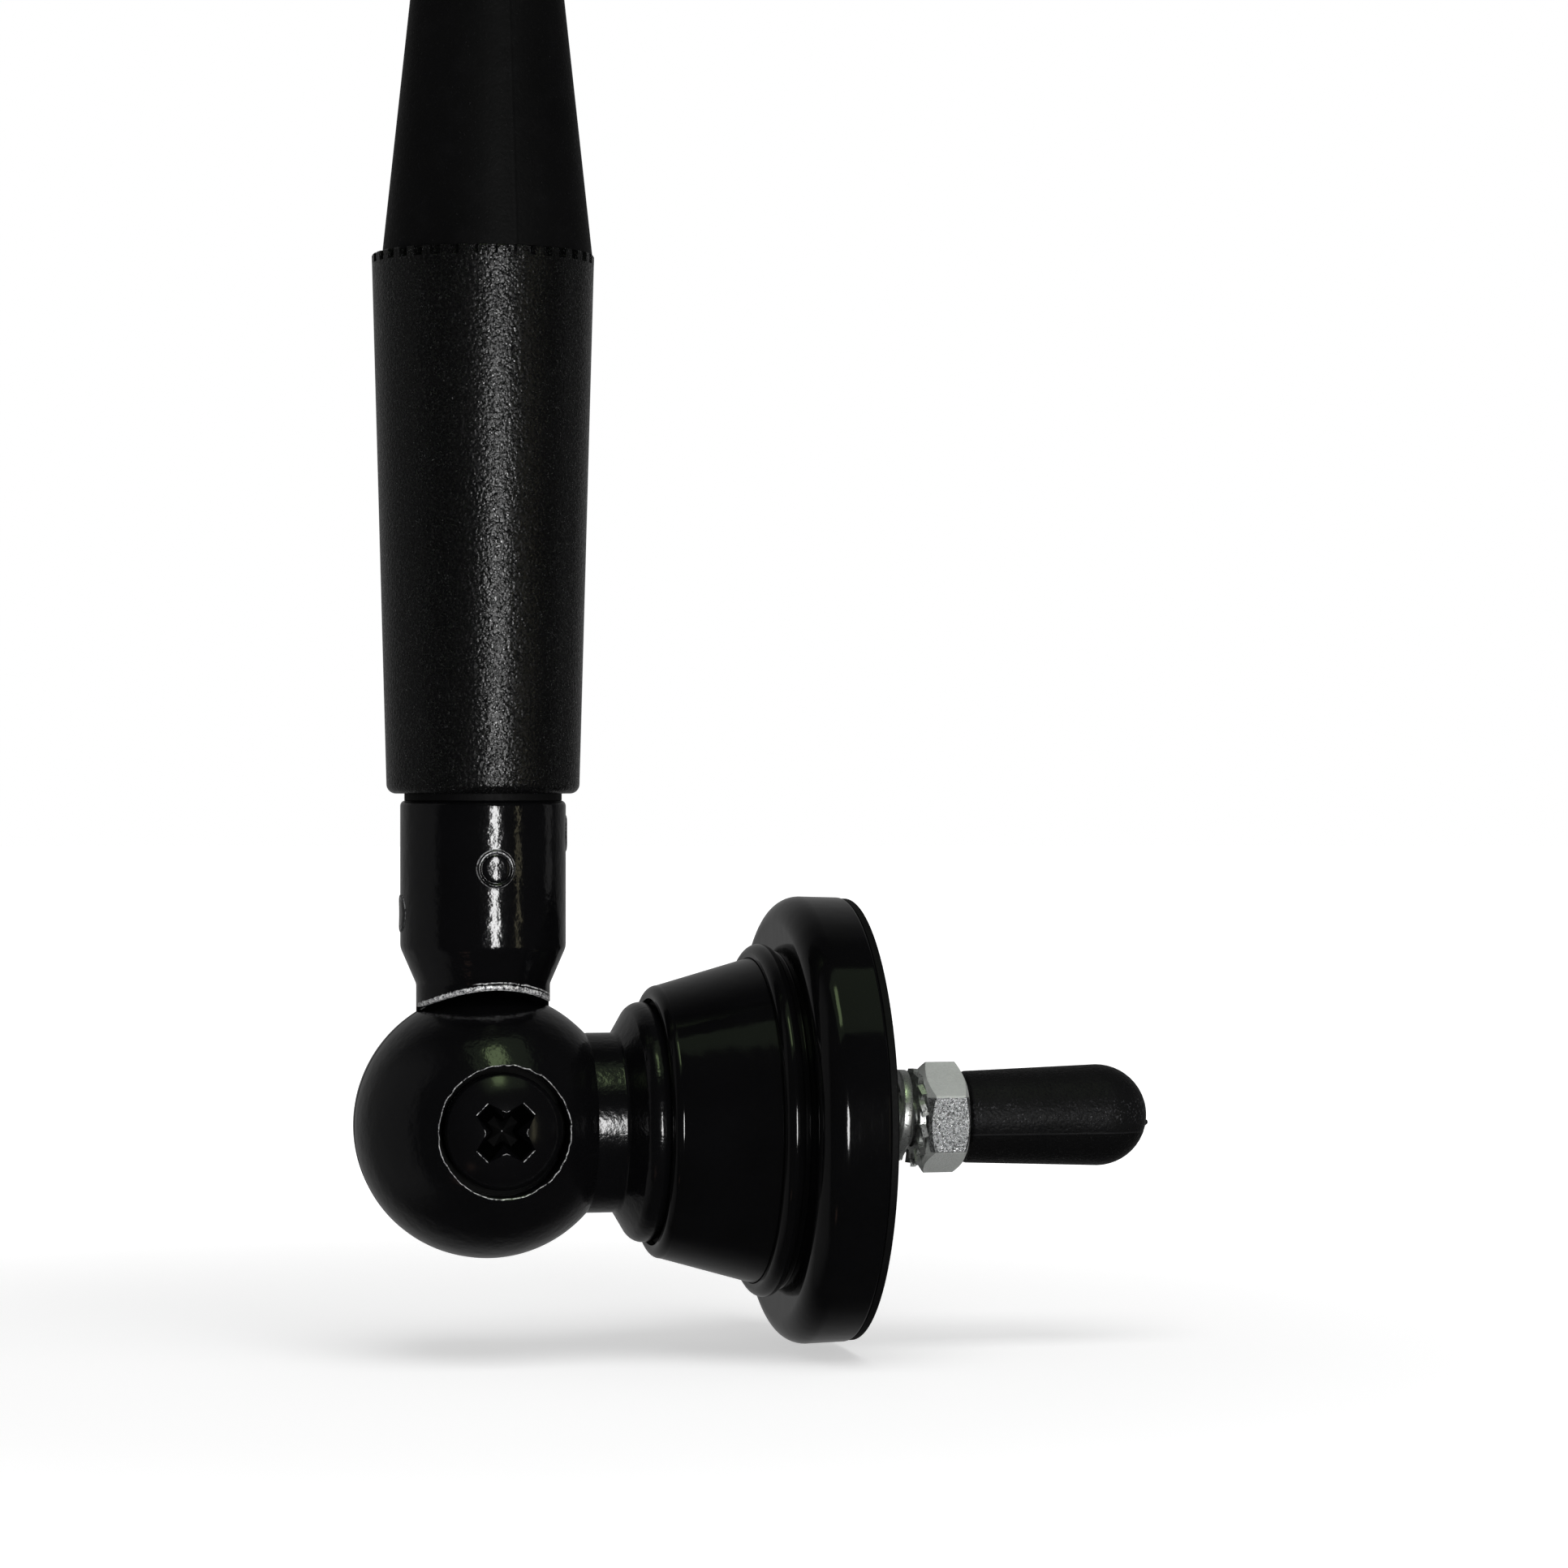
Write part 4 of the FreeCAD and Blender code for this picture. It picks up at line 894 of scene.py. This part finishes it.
# %% Near ball, neck and bell
SCREW_BORE, HOLE_FLOOR = 3.3, 9.0
NECK_RADIUS, NECK_START, NECK_END = 9.42, 4.0, 13.4
BELL_RADIUS, BELL_END = 12.45, 18.0
TAIL_RADIUS, TAIL_END = 6.0, 37.5
near_ball = Turning(
    [
        (SCREW_BORE, SEAM),
        *BALL_EDGE,
        (HOLE_RADIUS + 0.16, 12.09),
        (HOLE_RADIUS, 11.97),
        (HOLE_RADIUS, HOLE_FLOOR),
        (SCREW_BORE, HOLE_FLOOR),
    ],
    "near",
    closed=True,
)
neck = Turning(
    [
        (0, NECK_START),
        (NECK_RADIUS, NECK_START),
        (NECK_RADIUS, NECK_END, 0.5),
        (BELL_RADIUS - 0.55, NECK_END + 1.5, 0, 1.75),
        (BELL_RADIUS, BELL_END - 1.0),
        (BELL_RADIUS - 0.25, BELL_END),
        (TAIL_RADIUS, BELL_END),
        (TAIL_RADIUS, TAIL_END),
        (0, TAIL_END),
    ],
    "X",
)
ROOM_RADIUS = 14.22
far_room = Turning([(0, -SEAM), (ROOM_RADIUS, -SEAM, 0, ROOM_RADIUS), (0, ROOM_RADIUS)], "far")
base_half = carved("base_half", neck, [("DIFFERENCE", far_room), ("UNION", near_ball)])
piece("base_half", base_half, "base", ["base_knuckle"], "black_gloss_metal", near_paint)

# %% [markdown]
# ## Pivot screw
#
# A raised head with a cross recess. The recess is the ruled space between a large cross at the head's crown
# and a small one at its floor, with a shallow point under it, as a driver's tip has.

# %% The screw
HEAD_RADIUS, HEAD_UNDER, HEAD_TOP, CROWN_HEIGHT = 6.0, 9.9, 11.3, 1.9
CROWN = HEAD_TOP + CROWN_HEIGHT
SHANK_RADIUS, SHANK_END = 3.0, -8.5


def cross_ring(share, steps=7):
    """A ring of points round a cross with its wings on the diagonals, scaled by a share.

    A wing ends in a straight edge. From its corner the side runs in to the heart, and a small parabola
    takes the corner there.
    """
    tip, wing, heart = 3.86, 1.0, 1.525
    first, middle, last = np.array([(tip, wing), (heart, heart), (wing, tip)])
    before, after = middle + (first - middle) * 0.15, middle + (last - middle) * 0.15
    run = np.linspace(0, 1, steps)[:, None]
    quarter = np.concatenate(
        [
            (tip, -wing) + run[:-1] * (0, 2 * wing),
            first + (before - first) * run[:-1],
            before * (1 - run) ** 2 + middle * 2 * run * (1 - run) + after * run**2,
            after + (last - after) * run[1:-1],
        ]
    )
    angle = np.radians(45.0 + 90.0 * np.arange(4))[:, None]
    x = quarter[:, 0] * np.cos(angle) - quarter[:, 1] * np.sin(angle)
    z = quarter[:, 0] * np.sin(angle) + quarter[:, 1] * np.cos(angle)
    return x.ravel() * share, z.ravel() * share


def recess_tool():
    """The recess as a stack of crosses: full size at the crown, tapering to the floor and to a point."""
    taper = 0.55 / 2.9
    layers = [(14.2, 1 + taper), (CROWN, 1.0), (10.3, 0.45), (9.95, 0.02)]
    rings = []
    for station, share in layers:
        x, z = cross_ring(share)
        rings.append(grid_of(x, -station, z))
    return inside_out(closed_grid(np.array(rings)))


# The dome's radius follows from the head's radius and the crown's height over its side
dome = (HEAD_RADIUS**2 + CROWN_HEIGHT**2) / (2 * CROWN_HEIGHT)
screw = Turning(
    [
        (0, SHANK_END),
        (SHANK_RADIUS - 0.7, SHANK_END),
        (SHANK_RADIUS, SHANK_END + 0.7),
        (SHANK_RADIUS, HEAD_UNDER),
        (HEAD_RADIUS, HEAD_UNDER),
        (HEAD_RADIUS, HEAD_TOP - 0.1),
        (HEAD_RADIUS - 0.1, HEAD_TOP + 0.06, 0, dome),
        (0, CROWN),
    ],
    "near",
    around=160,
)
screw_mesh = carved("swivel_screw", screw, [("DIFFERENCE", recess_tool())])
piece("swivel_screw", screw_mesh, "base", ["pivot_screw"], "black_screw_steel", screw_black)

# %% [markdown]
# ## Locking pins
#
# Three pins lock the ferrule to the plug inside. Each is pressed in from outside, and the paint round it
# has lifted into a little rim. The pin's face is worked out over the ferrule's own curve: a point at a
# distance and an angle round the pin's axis is dropped onto the cylinder and then raised by the profile.

# %% The pins
FRONT = -90.0
# How far each pin is under the ferrule's top, and the direction that it faces
PINS = {"right": (3.45, 0.0), "front": (7.0, FRONT), "left": (11.75, 180.0)}
# The distance from the pin's axis, and the lift over the ferrule's skin: flat face, step, rim, foot
PIN_FACE = [(0.001, 0.20), (0.9, 0.20), (1.25, 0.195), (1.36, 0.17)]
PIN_STEP = [(1.42, 0.10), (1.50, 0.08), (1.57, 0.14), (1.65, 0.25)]
PIN_RIM = [(1.75, 0.31), (1.86, 0.28), (1.95, 0.17), (2.03, 0.0), (2.05, -0.6)]
PIN_PROFILE = np.array(PIN_FACE + PIN_STEP + PIN_RIM)


def pin_grid(drop, facing):
    """Rows from the pin's centre outwards: a flat face, a step, a round rim and a foot in the ferrule.

    The rims of the pins at the sides stand out less than the front one's.
    """
    height = 1.0 if facing == FRONT else 0.45
    reach, lift = PIN_PROFILE[:, :1], PIN_PROFILE[:, 1:]
    across, up = polar(reach, circle(72))
    out = np.sqrt(FERRULE_RADIUS**2 - across**2) + np.where(lift > 0, lift * height, lift)
    side = math.radians(facing)
    x = STEM_SHIFT + out * math.cos(side) - across * math.sin(side)
    y = out * math.sin(side) + across * math.cos(side)
    return grid_of(x, y, FERRULE_TOP - drop + up)


def pin_wear(made, ragged, wobble):
    """Bare metal in two fine rings on each pin's rim, most of it on the upper half.

    The outer ring is also bright below. The side pins have only a fifth of the front one's wear.
    """
    x, y, z = made.parts()
    rings = []
    for drop, facing in PINS.values():
        side = math.radians(facing)
        across = y * math.cos(side) - (x - STEM_SHIFT) * math.sin(side)
        up = z - (FERRULE_TOP - drop)
        reach = length(across, up)
        out = (x - STEM_SHIFT) * math.cos(side) + y * math.sin(side)
        share = 1.0 if facing == FRONT else 0.2
        for radius, low in ((1.70, 0.0), (2.0, 0.45)):
            rim = (reach + (wobble - 0.5) * 0.12).around(radius, 0.03, 0.09)
            worn = rim * (low + up.step(-0.2, 1.2) * (1 - low)) * ragged.step(0.30, 0.46)
            rings.append(worn * out.step(7.5, 8.0) * share)
    return rings, None


pin_paint = paint_with_wear_and_painted_highlights("pin_paint", pin_wear)
for name, (drop, facing) in PINS.items():
    face = closed_grid(pin_grid(drop, facing)[::-1])
    grid_piece(f"pin_{name}", face, 60, "mast", [f"locking_pin_{name}"], "black_gloss_metal", pin_paint)

# %% [markdown]
# ## Cone and flange
#
# Two plastic mouldings. The cone has a rolled lip at its mouth and a skirt that goes into the flange. The
# flange has a bead round the cone's foot, a groove and a wide round shoulder. All of it is turned, and each
# corner that a mould would round is rounded.

# %% The base
TAIL_BORE, SKIRT_BORE = 7.6, 14.8
MOUTH_RADIUS, MOUTH_FACE, MOUTH_FLOOR, FLOOR_BACK = 12.95, 17.2, 18.6, 21.0
SKIRT_RADIUS, SKIRT_START, SKIRT_END, SKIRT_PLAY = 17.1, 27.9, 31.5, 0.1
BACK_RADIUS, BACK_FLOOR, BACK_FACE = 14.6, 34.5, 37.8
BEAD_RADIUS, BEAD_START, BEAD_END = 17.7, 28.0, 30.7
RIM_RADIUS, RIM_DRAFT, SHOULDER = 23.6, 0.13, 2.7
cone = Turning(
    [
        (TAIL_BORE, MOUTH_FLOOR),
        (MOUTH_RADIUS, MOUTH_FLOOR),
        (MOUTH_RADIUS, MOUTH_FACE, 0.1),
        (MOUTH_RADIUS + 0.25, MOUTH_FACE, 0, 1.0),
        (14.34, 18.2),
        (SKIRT_RADIUS, SKIRT_START),
        (SKIRT_RADIUS, SKIRT_END),
        (SKIRT_BORE, SKIRT_END),
        (SKIRT_BORE, SKIRT_START),
        (12.84, FLOOR_BACK),
        (TAIL_BORE, FLOOR_BACK),
    ],
    "X",
    closed=True,
)
turned_piece("cone", cone, "base", ["base_cone"], "black_gloss_plastic", gloss_plastic)
flange = Turning(
    [
        (SKIRT_RADIUS + SKIRT_PLAY, BEAD_START),
        (BEAD_RADIUS, BEAD_START, 0, 1.12),
        (BEAD_RADIUS, BEAD_END - 0.5),
        (BEAD_RADIUS, BEAD_END, 0.15),
        (RIM_RADIUS - SHOULDER, BEAD_END, 0, SHOULDER),
        (RIM_RADIUS, BEAD_END + SHOULDER),
        (RIM_RADIUS - RIM_DRAFT, BACK_FACE, 0.35),
        (BACK_RADIUS, BACK_FACE, 0.2),
        (BACK_RADIUS, BACK_FLOOR),
        (TAIL_BORE, BACK_FLOOR),
        (TAIL_BORE, SKIRT_END),
        (SKIRT_RADIUS + SKIRT_PLAY, SKIRT_END),
    ],
    "X",
    closed=True,
    around=256,
)
turned_piece("flange", flange, "base", ["base_flange"], "black_gloss_plastic", gloss_plastic)
GASKET_RADIUS = 23.35
gasket_front = (BACK_RADIUS, BACK_FACE, 0.1), (GASKET_RADIUS, BACK_FACE, 0.1)
gasket_back = (GASKET_RADIUS, BALL_TO_FACE, 0.2), (BACK_RADIUS, BALL_TO_FACE, 0.2)
gasket = Turning([*gasket_front, *gasket_back], "X", closed=True, around=256)
turned_piece("gasket", gasket, "base", ["base_gasket"], "black_seal_rubber", seal_rubber)

# %% [markdown]
# ## Stud, washers and nut
#
# The stud has a rolled thread. A thread is a triangle wave in the radius that moves along by one pitch for
# each turn, so it is one line of numpy. It is worth real geometry here, because it shows in outline between
# the base and the washers.

# %% The threaded stud
PITCH, THREAD_DEPTH, THREAD_START = 1.0, 0.58, 37.0
STUD_RADIUS, STUD_START, STUD_END = 3.0, 23.5, BALL_TO_FACE + 28.0


def round_x(station, radius, angle):
    """Points at a station on the stud's axis, a radius from it and an angle round it."""
    return grid_of(station, *polar(radius, angle))


def stud_grid():
    """The radius at an angle and a station is the stud's less the thread's wave or the end's chamfer.

    The wave is a triangle, cut flat at its crests and roots.
    """
    angle = circle(48)
    threaded = np.arange(THREAD_START, STUD_END + 0.01, PITCH / 12)
    station = np.concatenate([[STUD_START, THREAD_START - 0.1], threaded])[:, None]
    wave = np.abs(((station / PITCH - angle / (2 * np.pi)) % 1.0) * 2 - 1)
    wave = np.clip(wave * 1.35 - 0.12, 0, 1)
    cut = THREAD_DEPTH * wave * np.clip((station - THREAD_START) / 0.6, 0, 1)
    end = np.clip(station - (STUD_END - 0.7), 0, 0.7)
    radius = np.minimum(STUD_RADIUS - cut, STUD_RADIUS - end)
    return round_x(station, radius, angle)


ZINC_SLOT = "zinc_plated_steel"
grid_piece("stud", closed_grid(stud_grid()), 50, "base", ["mounting_stud"], ZINC_SLOT, bright_zinc)

# %% [markdown]
# The nut is a hexagon whose corners are turned off at thirty degrees on both faces. For every angle the
# hexagon has one radius, and the chamfer's cone meets it at one station, so a few rows of points give the
# whole outside, curved corners included. The other rows make the bore with its own two chamfers.

# %% The nut
NUT_START, NUT_HEIGHT, NUT_FLATS, NUT_TURN = 46.332, 4.6, 10.4, 5.0
NUT_CHAMFER, NUT_BORE, BORE_CHAMFER = 0.8, 3.02, 0.35


def nut_grid():
    """Rows from the bore over one face, the outside and the other face back to the bore.

    The radius is half the flats over the cosine of the angle from the nearest flat's middle, a little less
    at the corners, which are rubbed.
    """
    sector = np.unique(np.radians(np.concatenate([np.linspace(-29.7, 29.7, 15), [-30.0, -29.0, 29.0]])))
    angle = (np.radians(60.0) * np.arange(6)[:, None] + sector).ravel()
    local = np.tile(np.abs(sector), 6)
    corner = NUT_FLATS / math.sqrt(3)
    radius = np.minimum(NUT_FLATS / 2 / np.cos(local), corner - 0.06)
    ring = np.full_like(radius, corner + 0.1 - NUT_CHAMFER * math.sqrt(3))
    fall = np.clip((radius - ring) * math.tan(math.radians(30)), 0, None)
    bore = np.full_like(radius, NUT_BORE)
    rows = [
        (NUT_START + BORE_CHAMFER, bore - BORE_CHAMFER),
        (NUT_START, bore),
        (NUT_START, ring),
        (NUT_START + fall, radius),
        (NUT_START + NUT_HEIGHT / 2, radius),
        (NUT_START + NUT_HEIGHT - fall, radius),
        (NUT_START + NUT_HEIGHT, ring),
        (NUT_START + NUT_HEIGHT, bore),
        (NUT_START + NUT_HEIGHT - BORE_CHAMFER, bore - BORE_CHAMFER),
    ]
    angle = angle + math.radians(NUT_TURN)
    return np.array([round_x(station, out, angle) for station, out in rows])


nut_points = nut_grid()
points, faces = closed_grid(nut_points, cap_low=False, cap_high=False)
rows, columns = nut_points.shape[:2]
ring = np.arange(columns)
following, last = np.roll(ring, -1), (rows - 1) * columns
faces += np.stack([last + ring, last + following, following, ring], axis=1).tolist()
grid_piece("nut", (points, faces), 20, "base", ["hex_nut"], ZINC_SLOT, zinc)

# %% [markdown]
# The spring washer is one flat wire wound nearly once round, with its two ends standing apart. It is a
# rounded rectangle carried along a helix, the simplest case of a profile on a path. It sits aslant on the
# stud, its upper side nearer to the nut.

# %% The spring washer
WASHER_START = BALL_TO_FACE + 4.75
WASHER_TILT, WASHER_LIFT = math.radians(3.5), 0.25
WIRE_RADIUS, WIRE_WIDTH, WIRE_THICKNESS = 4.15, 1.5, 1.0
WIRE_PITCH, WIRE_TURNS, WIRE_POWER = 0.9, 0.97, 0.30


def spring_grid():
    """A rounded rectangle along a left-handed helix, which starts and ends at the bottom.

    The whole ring is then turned by its tilt round the line across the stud, and lifted.
    """
    turn = np.linspace(0, WIRE_TURNS * 2 * np.pi, 97)[:, None]
    corner = circle(24)

    def squared(wave, size):
        """A wave whose low power swells the circle into a rectangle with round corners."""
        return np.sign(wave) * np.abs(wave) ** WIRE_POWER * size / 2

    radius = WIRE_RADIUS + squared(np.cos(corner), WIRE_WIDTH)
    station = WIRE_PITCH * turn / (2 * np.pi) + squared(np.sin(corner), WIRE_THICKNESS)
    up, side = polar(-radius, turn)
    leant = station * math.cos(WASHER_TILT) + up * math.sin(WASHER_TILT)
    lifted = up * math.cos(WASHER_TILT) - station * math.sin(WASHER_TILT) + WASHER_LIFT
    return grid_of(WASHER_START + WIRE_THICKNESS / 2 + leant, side, lifted)


washer_grid = closed_grid(spring_grid())
grid_piece("split_washer", washer_grid, 40, "base", ["spring_washer"], ZINC_SLOT, bright_zinc)

# %% [markdown]
# ## Rubber cap
#
# The cap is moulded rubber, a little wider towards its round tip, with the small nib that the mould's gate
# leaves beside the middle.

# %% The cap
CAP_START, CAP_SIDE, CAP_FLOOR = 51.232, 14.8, 67.6
CAP_BORE, CAP_FOOT, CAP_RADIUS = 3.05, 4.88, 5.42
cap = Turning(
    [
        (CAP_BORE, CAP_START, 0.15),
        (CAP_FOOT, CAP_START, 0.3),
        (CAP_RADIUS, CAP_START + CAP_SIDE, 0, CAP_RADIUS),
        (0, CAP_START + CAP_SIDE + CAP_RADIUS),
        (0, CAP_FLOOR),
        (CAP_BORE, CAP_FLOOR),
    ],
    "X",
    closed=True,
    around=128,
)
nib = Turning(
    [(0, -0.5), (0.55, -0.5), (0.42, 0.1), (0.2, 0.38, 0, 0.3), (0, 0.44)],
    "X",
    at=(CAP_START + 20.08, -0.3, -0.85),
    around=32,
)
cap_mesh = carved("cap", cap, [("UNION", nib)])
piece("cap", cap_mesh, "cap", ["stud_cap"], "cap_rubber", cap_rubber)

# %% [markdown]
# ## The pieces that stay as CAD made them
#
# What lies inside, and the small toothed washer, keep their CAD meshes. They only get a finish.

# %% Finishes on CAD nodes
KEPT = {
    "mast_plug": seal_rubber,
    "core_rod": fibreglass,
    "radiator_wire": copper,
    "friction_disc": nylon,
    "pivot_spring_washer": zinc,
    "neck_seal": seal_rubber,
    "insulating_bush": nylon,
    "insulating_washer": nylon,
    "retaining_nut": zinc,
    "tooth_washer": bright_zinc,
}
for node, finish in KEPT.items():
    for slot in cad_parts[node].material_slots:
        slot.link = "OBJECT"
        slot.material = finish
    print(node, "wears", finish.name)

# %% [markdown]
# ## Floor, light and camera
#
# A plain pale floor carries the object, and the world behind it is white to the camera. The highlights on
# the photographed object say where its light stood: the stripe on the upright ferrule lies about ten degrees
# right of its middle, so the main light is about twenty degrees right of the camera, and level with it.

# %% Floor
FLOOR = -24.4 * MILLIMETRE


def floor_finish():
    """Pale diffuse floor. Camera rays see it lifted, half way near the object and to white far away."""
    made = Finish("floor", roughness=0.9, specular_ior_level=0.0, emission_strength=1.0)
    x, y, _ = made.parts()
    far = length(x, y).step(60.0, 300.0)
    speck = made.noise(40.0)
    colour = made.mix(speck * 0.1, (0.80, 0.80, 0.80), (0.77, 0.77, 0.77))
    seen = made.node("ShaderNodeLightPath", output="Is Camera Ray")
    lift = made.mix(seen * (0.52 + far * 0.48), (0, 0, 0), (1, 1, 1))
    return made.feed(base_color=colour, emission_color=lift)


def floor_mesh():
    """A flat disc of rings and spokes."""
    x, y = polar(np.array([0.001, 0.3, 1.0, 4.0])[:, None], circle(96))
    return new_mesh("floor", *inside_out(closed_grid(grid_of(x, y, FLOOR), cap_high=False)))


floor = bpy.data.objects.new("floor", floor_mesh())
floor.data.materials.append(floor_finish())
bpy.context.scene.collection.objects.link(floor)
# The photographed object shows the lamp's lower half too, so the floor hides no lamp from a reflection.
floor.visible_glossy = False
floor.visible_shadow = False
print("floor at", FLOOR, "m")

# %% Light
AIM = Vector((-BALL_TO_FACE, 0, 0)) * MILLIMETRE


def lamp(name, turn, rise, distance, size, watts, colour=(1, 1, 1), shape="RECTANGLE", mirrored=True):
    """A soft box that faces the object: turn from the front towards +X and rise above level, in degrees.

    A mirrored one is seen in gloss and metal and lights nothing. The others light what scatters and are
    seen in no reflection.
    """
    turn, rise = math.radians(turn), math.radians(rise)
    way = Vector((math.sin(turn) * math.cos(rise), -math.cos(turn) * math.cos(rise), math.sin(rise)))
    data = bpy.data.lights.new(name, "AREA")
    data.shape, (data.size, data.size_y) = shape, size
    data.energy, data.color = watts, colour
    made = bpy.data.objects.new(name, data)
    made.location = AIM + way * distance
    made.rotation_euler = way.to_track_quat("Z", "Y").to_euler()
    made.visible_glossy, made.visible_diffuse = mirrored, not mirrored
    bpy.context.scene.collection.objects.link(made)
    print(f"{name}: {watts} W at {turn:.2f}, {rise:.2f} rad")


# The lamps that light: a compact box beside the camera and a wide one above
lamp("main_box", 6.0, -3.0, 1.0, (0.30, 0.38), 6.6, mirrored=False)
lamp("fill_box", 0.0, 65.0, 1.2, (0.9, 0.9), 6.5, mirrored=False)
# The lamps that gloss and metal mirror: the window in the main box's place, and fainter ones. They are
# greenish above, warm in the thin strip at the right, grey at the side and reddish low at the left.
lamp("main_window", 7.1, 0.0, 1.0, (0.150, 0.40), 4.2, shape="ELLIPSE")
lamp("top_box", 6.0, 62.0, 1.1, (0.21, 0.40), 0.8, (0.75, 1.0, 0.50))
lamp("ceiling_box", 16.0, 64.0, 1.1, (0.9, 0.72), 0.5, (0.75, 1.0, 0.62))
lamp("strip_box", 40.7, 0.0, 1.2, (0.038, 0.50), 0.20, (1.0, 0.92, 0.60))
lamp("side_box", 95.0, 5.0, 1.2, (0.25, 0.7), 0.12)
lamp("low_box", -37.0, -42.0, 1.0, (0.10, 0.10), 0.012, (1.0, 0.6, 0.45))

ROOM_LIGHT = 0.20
MIRRORED_BEHIND, MIRRORED_LEFT, MIRRORED_ROOM = 0.20, 0.13, 0.02


def studio_world():
    """A dim room that is white to the camera.

    What gloss and metal mirror of it is brightest behind the object, dimmer at the left except towards the
    front, and nearly dark elsewhere.
    """
    world = bpy.data.worlds.new("studio")
    world.use_nodes = True
    made = Shading(world.node_tree)
    x, y, _ = made.split(made.node("ShaderNodeTexCoord", output="Generated"))
    kinds = "Is Glossy Ray", "Is Transmission Ray", "Is Camera Ray"
    glossy, passed, seen = (made.node("ShaderNodeLightPath", output=kind) for kind in kinds)
    mirrored = glossy.most(passed)
    behind = y.step(0.2, 0.95) * MIRRORED_BEHIND
    left = x.step(-0.45, -0.85) * MIRRORED_LEFT * y.step(-0.34, -0.14)
    reflected = behind.most(left) + MIRRORED_ROOM
    level = ((1 - mirrored) * ROOM_LIGHT + mirrored * reflected).most(seen)
    background = made.node("ShaderNodeBackground", {"Color": (1, 1, 1, 1), "Strength": level})
    made.show("ShaderNodeOutputWorld", background.socket)
    bpy.context.scene.world = world


studio_world()

# %% [markdown]
# The camera stands 491 mm away, level, and a little to the left of straight on, so that the base runs away
# from it to the right. The lens follows from how many millimetres the picture spans at the ball.

# %% Camera
DISTANCE, SPAN, SENSOR = 491.0, 163.6, 36.0
AIM_RIGHT, AIM_UP = 31.0, 35.5
CAMERA_TURN = math.radians(-12.5)
look = Vector((-math.sin(CAMERA_TURN), math.cos(CAMERA_TURN), 0))
right = Vector((look.y, -look.x, 0))
target = right * AIM_RIGHT + Vector((0, 0, AIM_UP)) - Vector((BALL_TO_FACE, 0, 0))
camera_data = bpy.data.cameras.new("camera")
camera_data.sensor_width = SENSOR
camera_data.lens = SENSOR * DISTANCE / SPAN
camera_data.clip_start, camera_data.clip_end = 0.01, 20.0
camera = bpy.data.objects.new("camera", camera_data)
camera.location = (target - look * DISTANCE) * MILLIMETRE
camera.rotation_euler = (-look).to_track_quat("Z", "Y").to_euler()
bpy.context.scene.collection.objects.link(camera)
bpy.context.scene.camera = camera
bpy.context.scene.view_settings.view_transform = "Standard"
print("lens", round(camera_data.lens, 1), "mm")
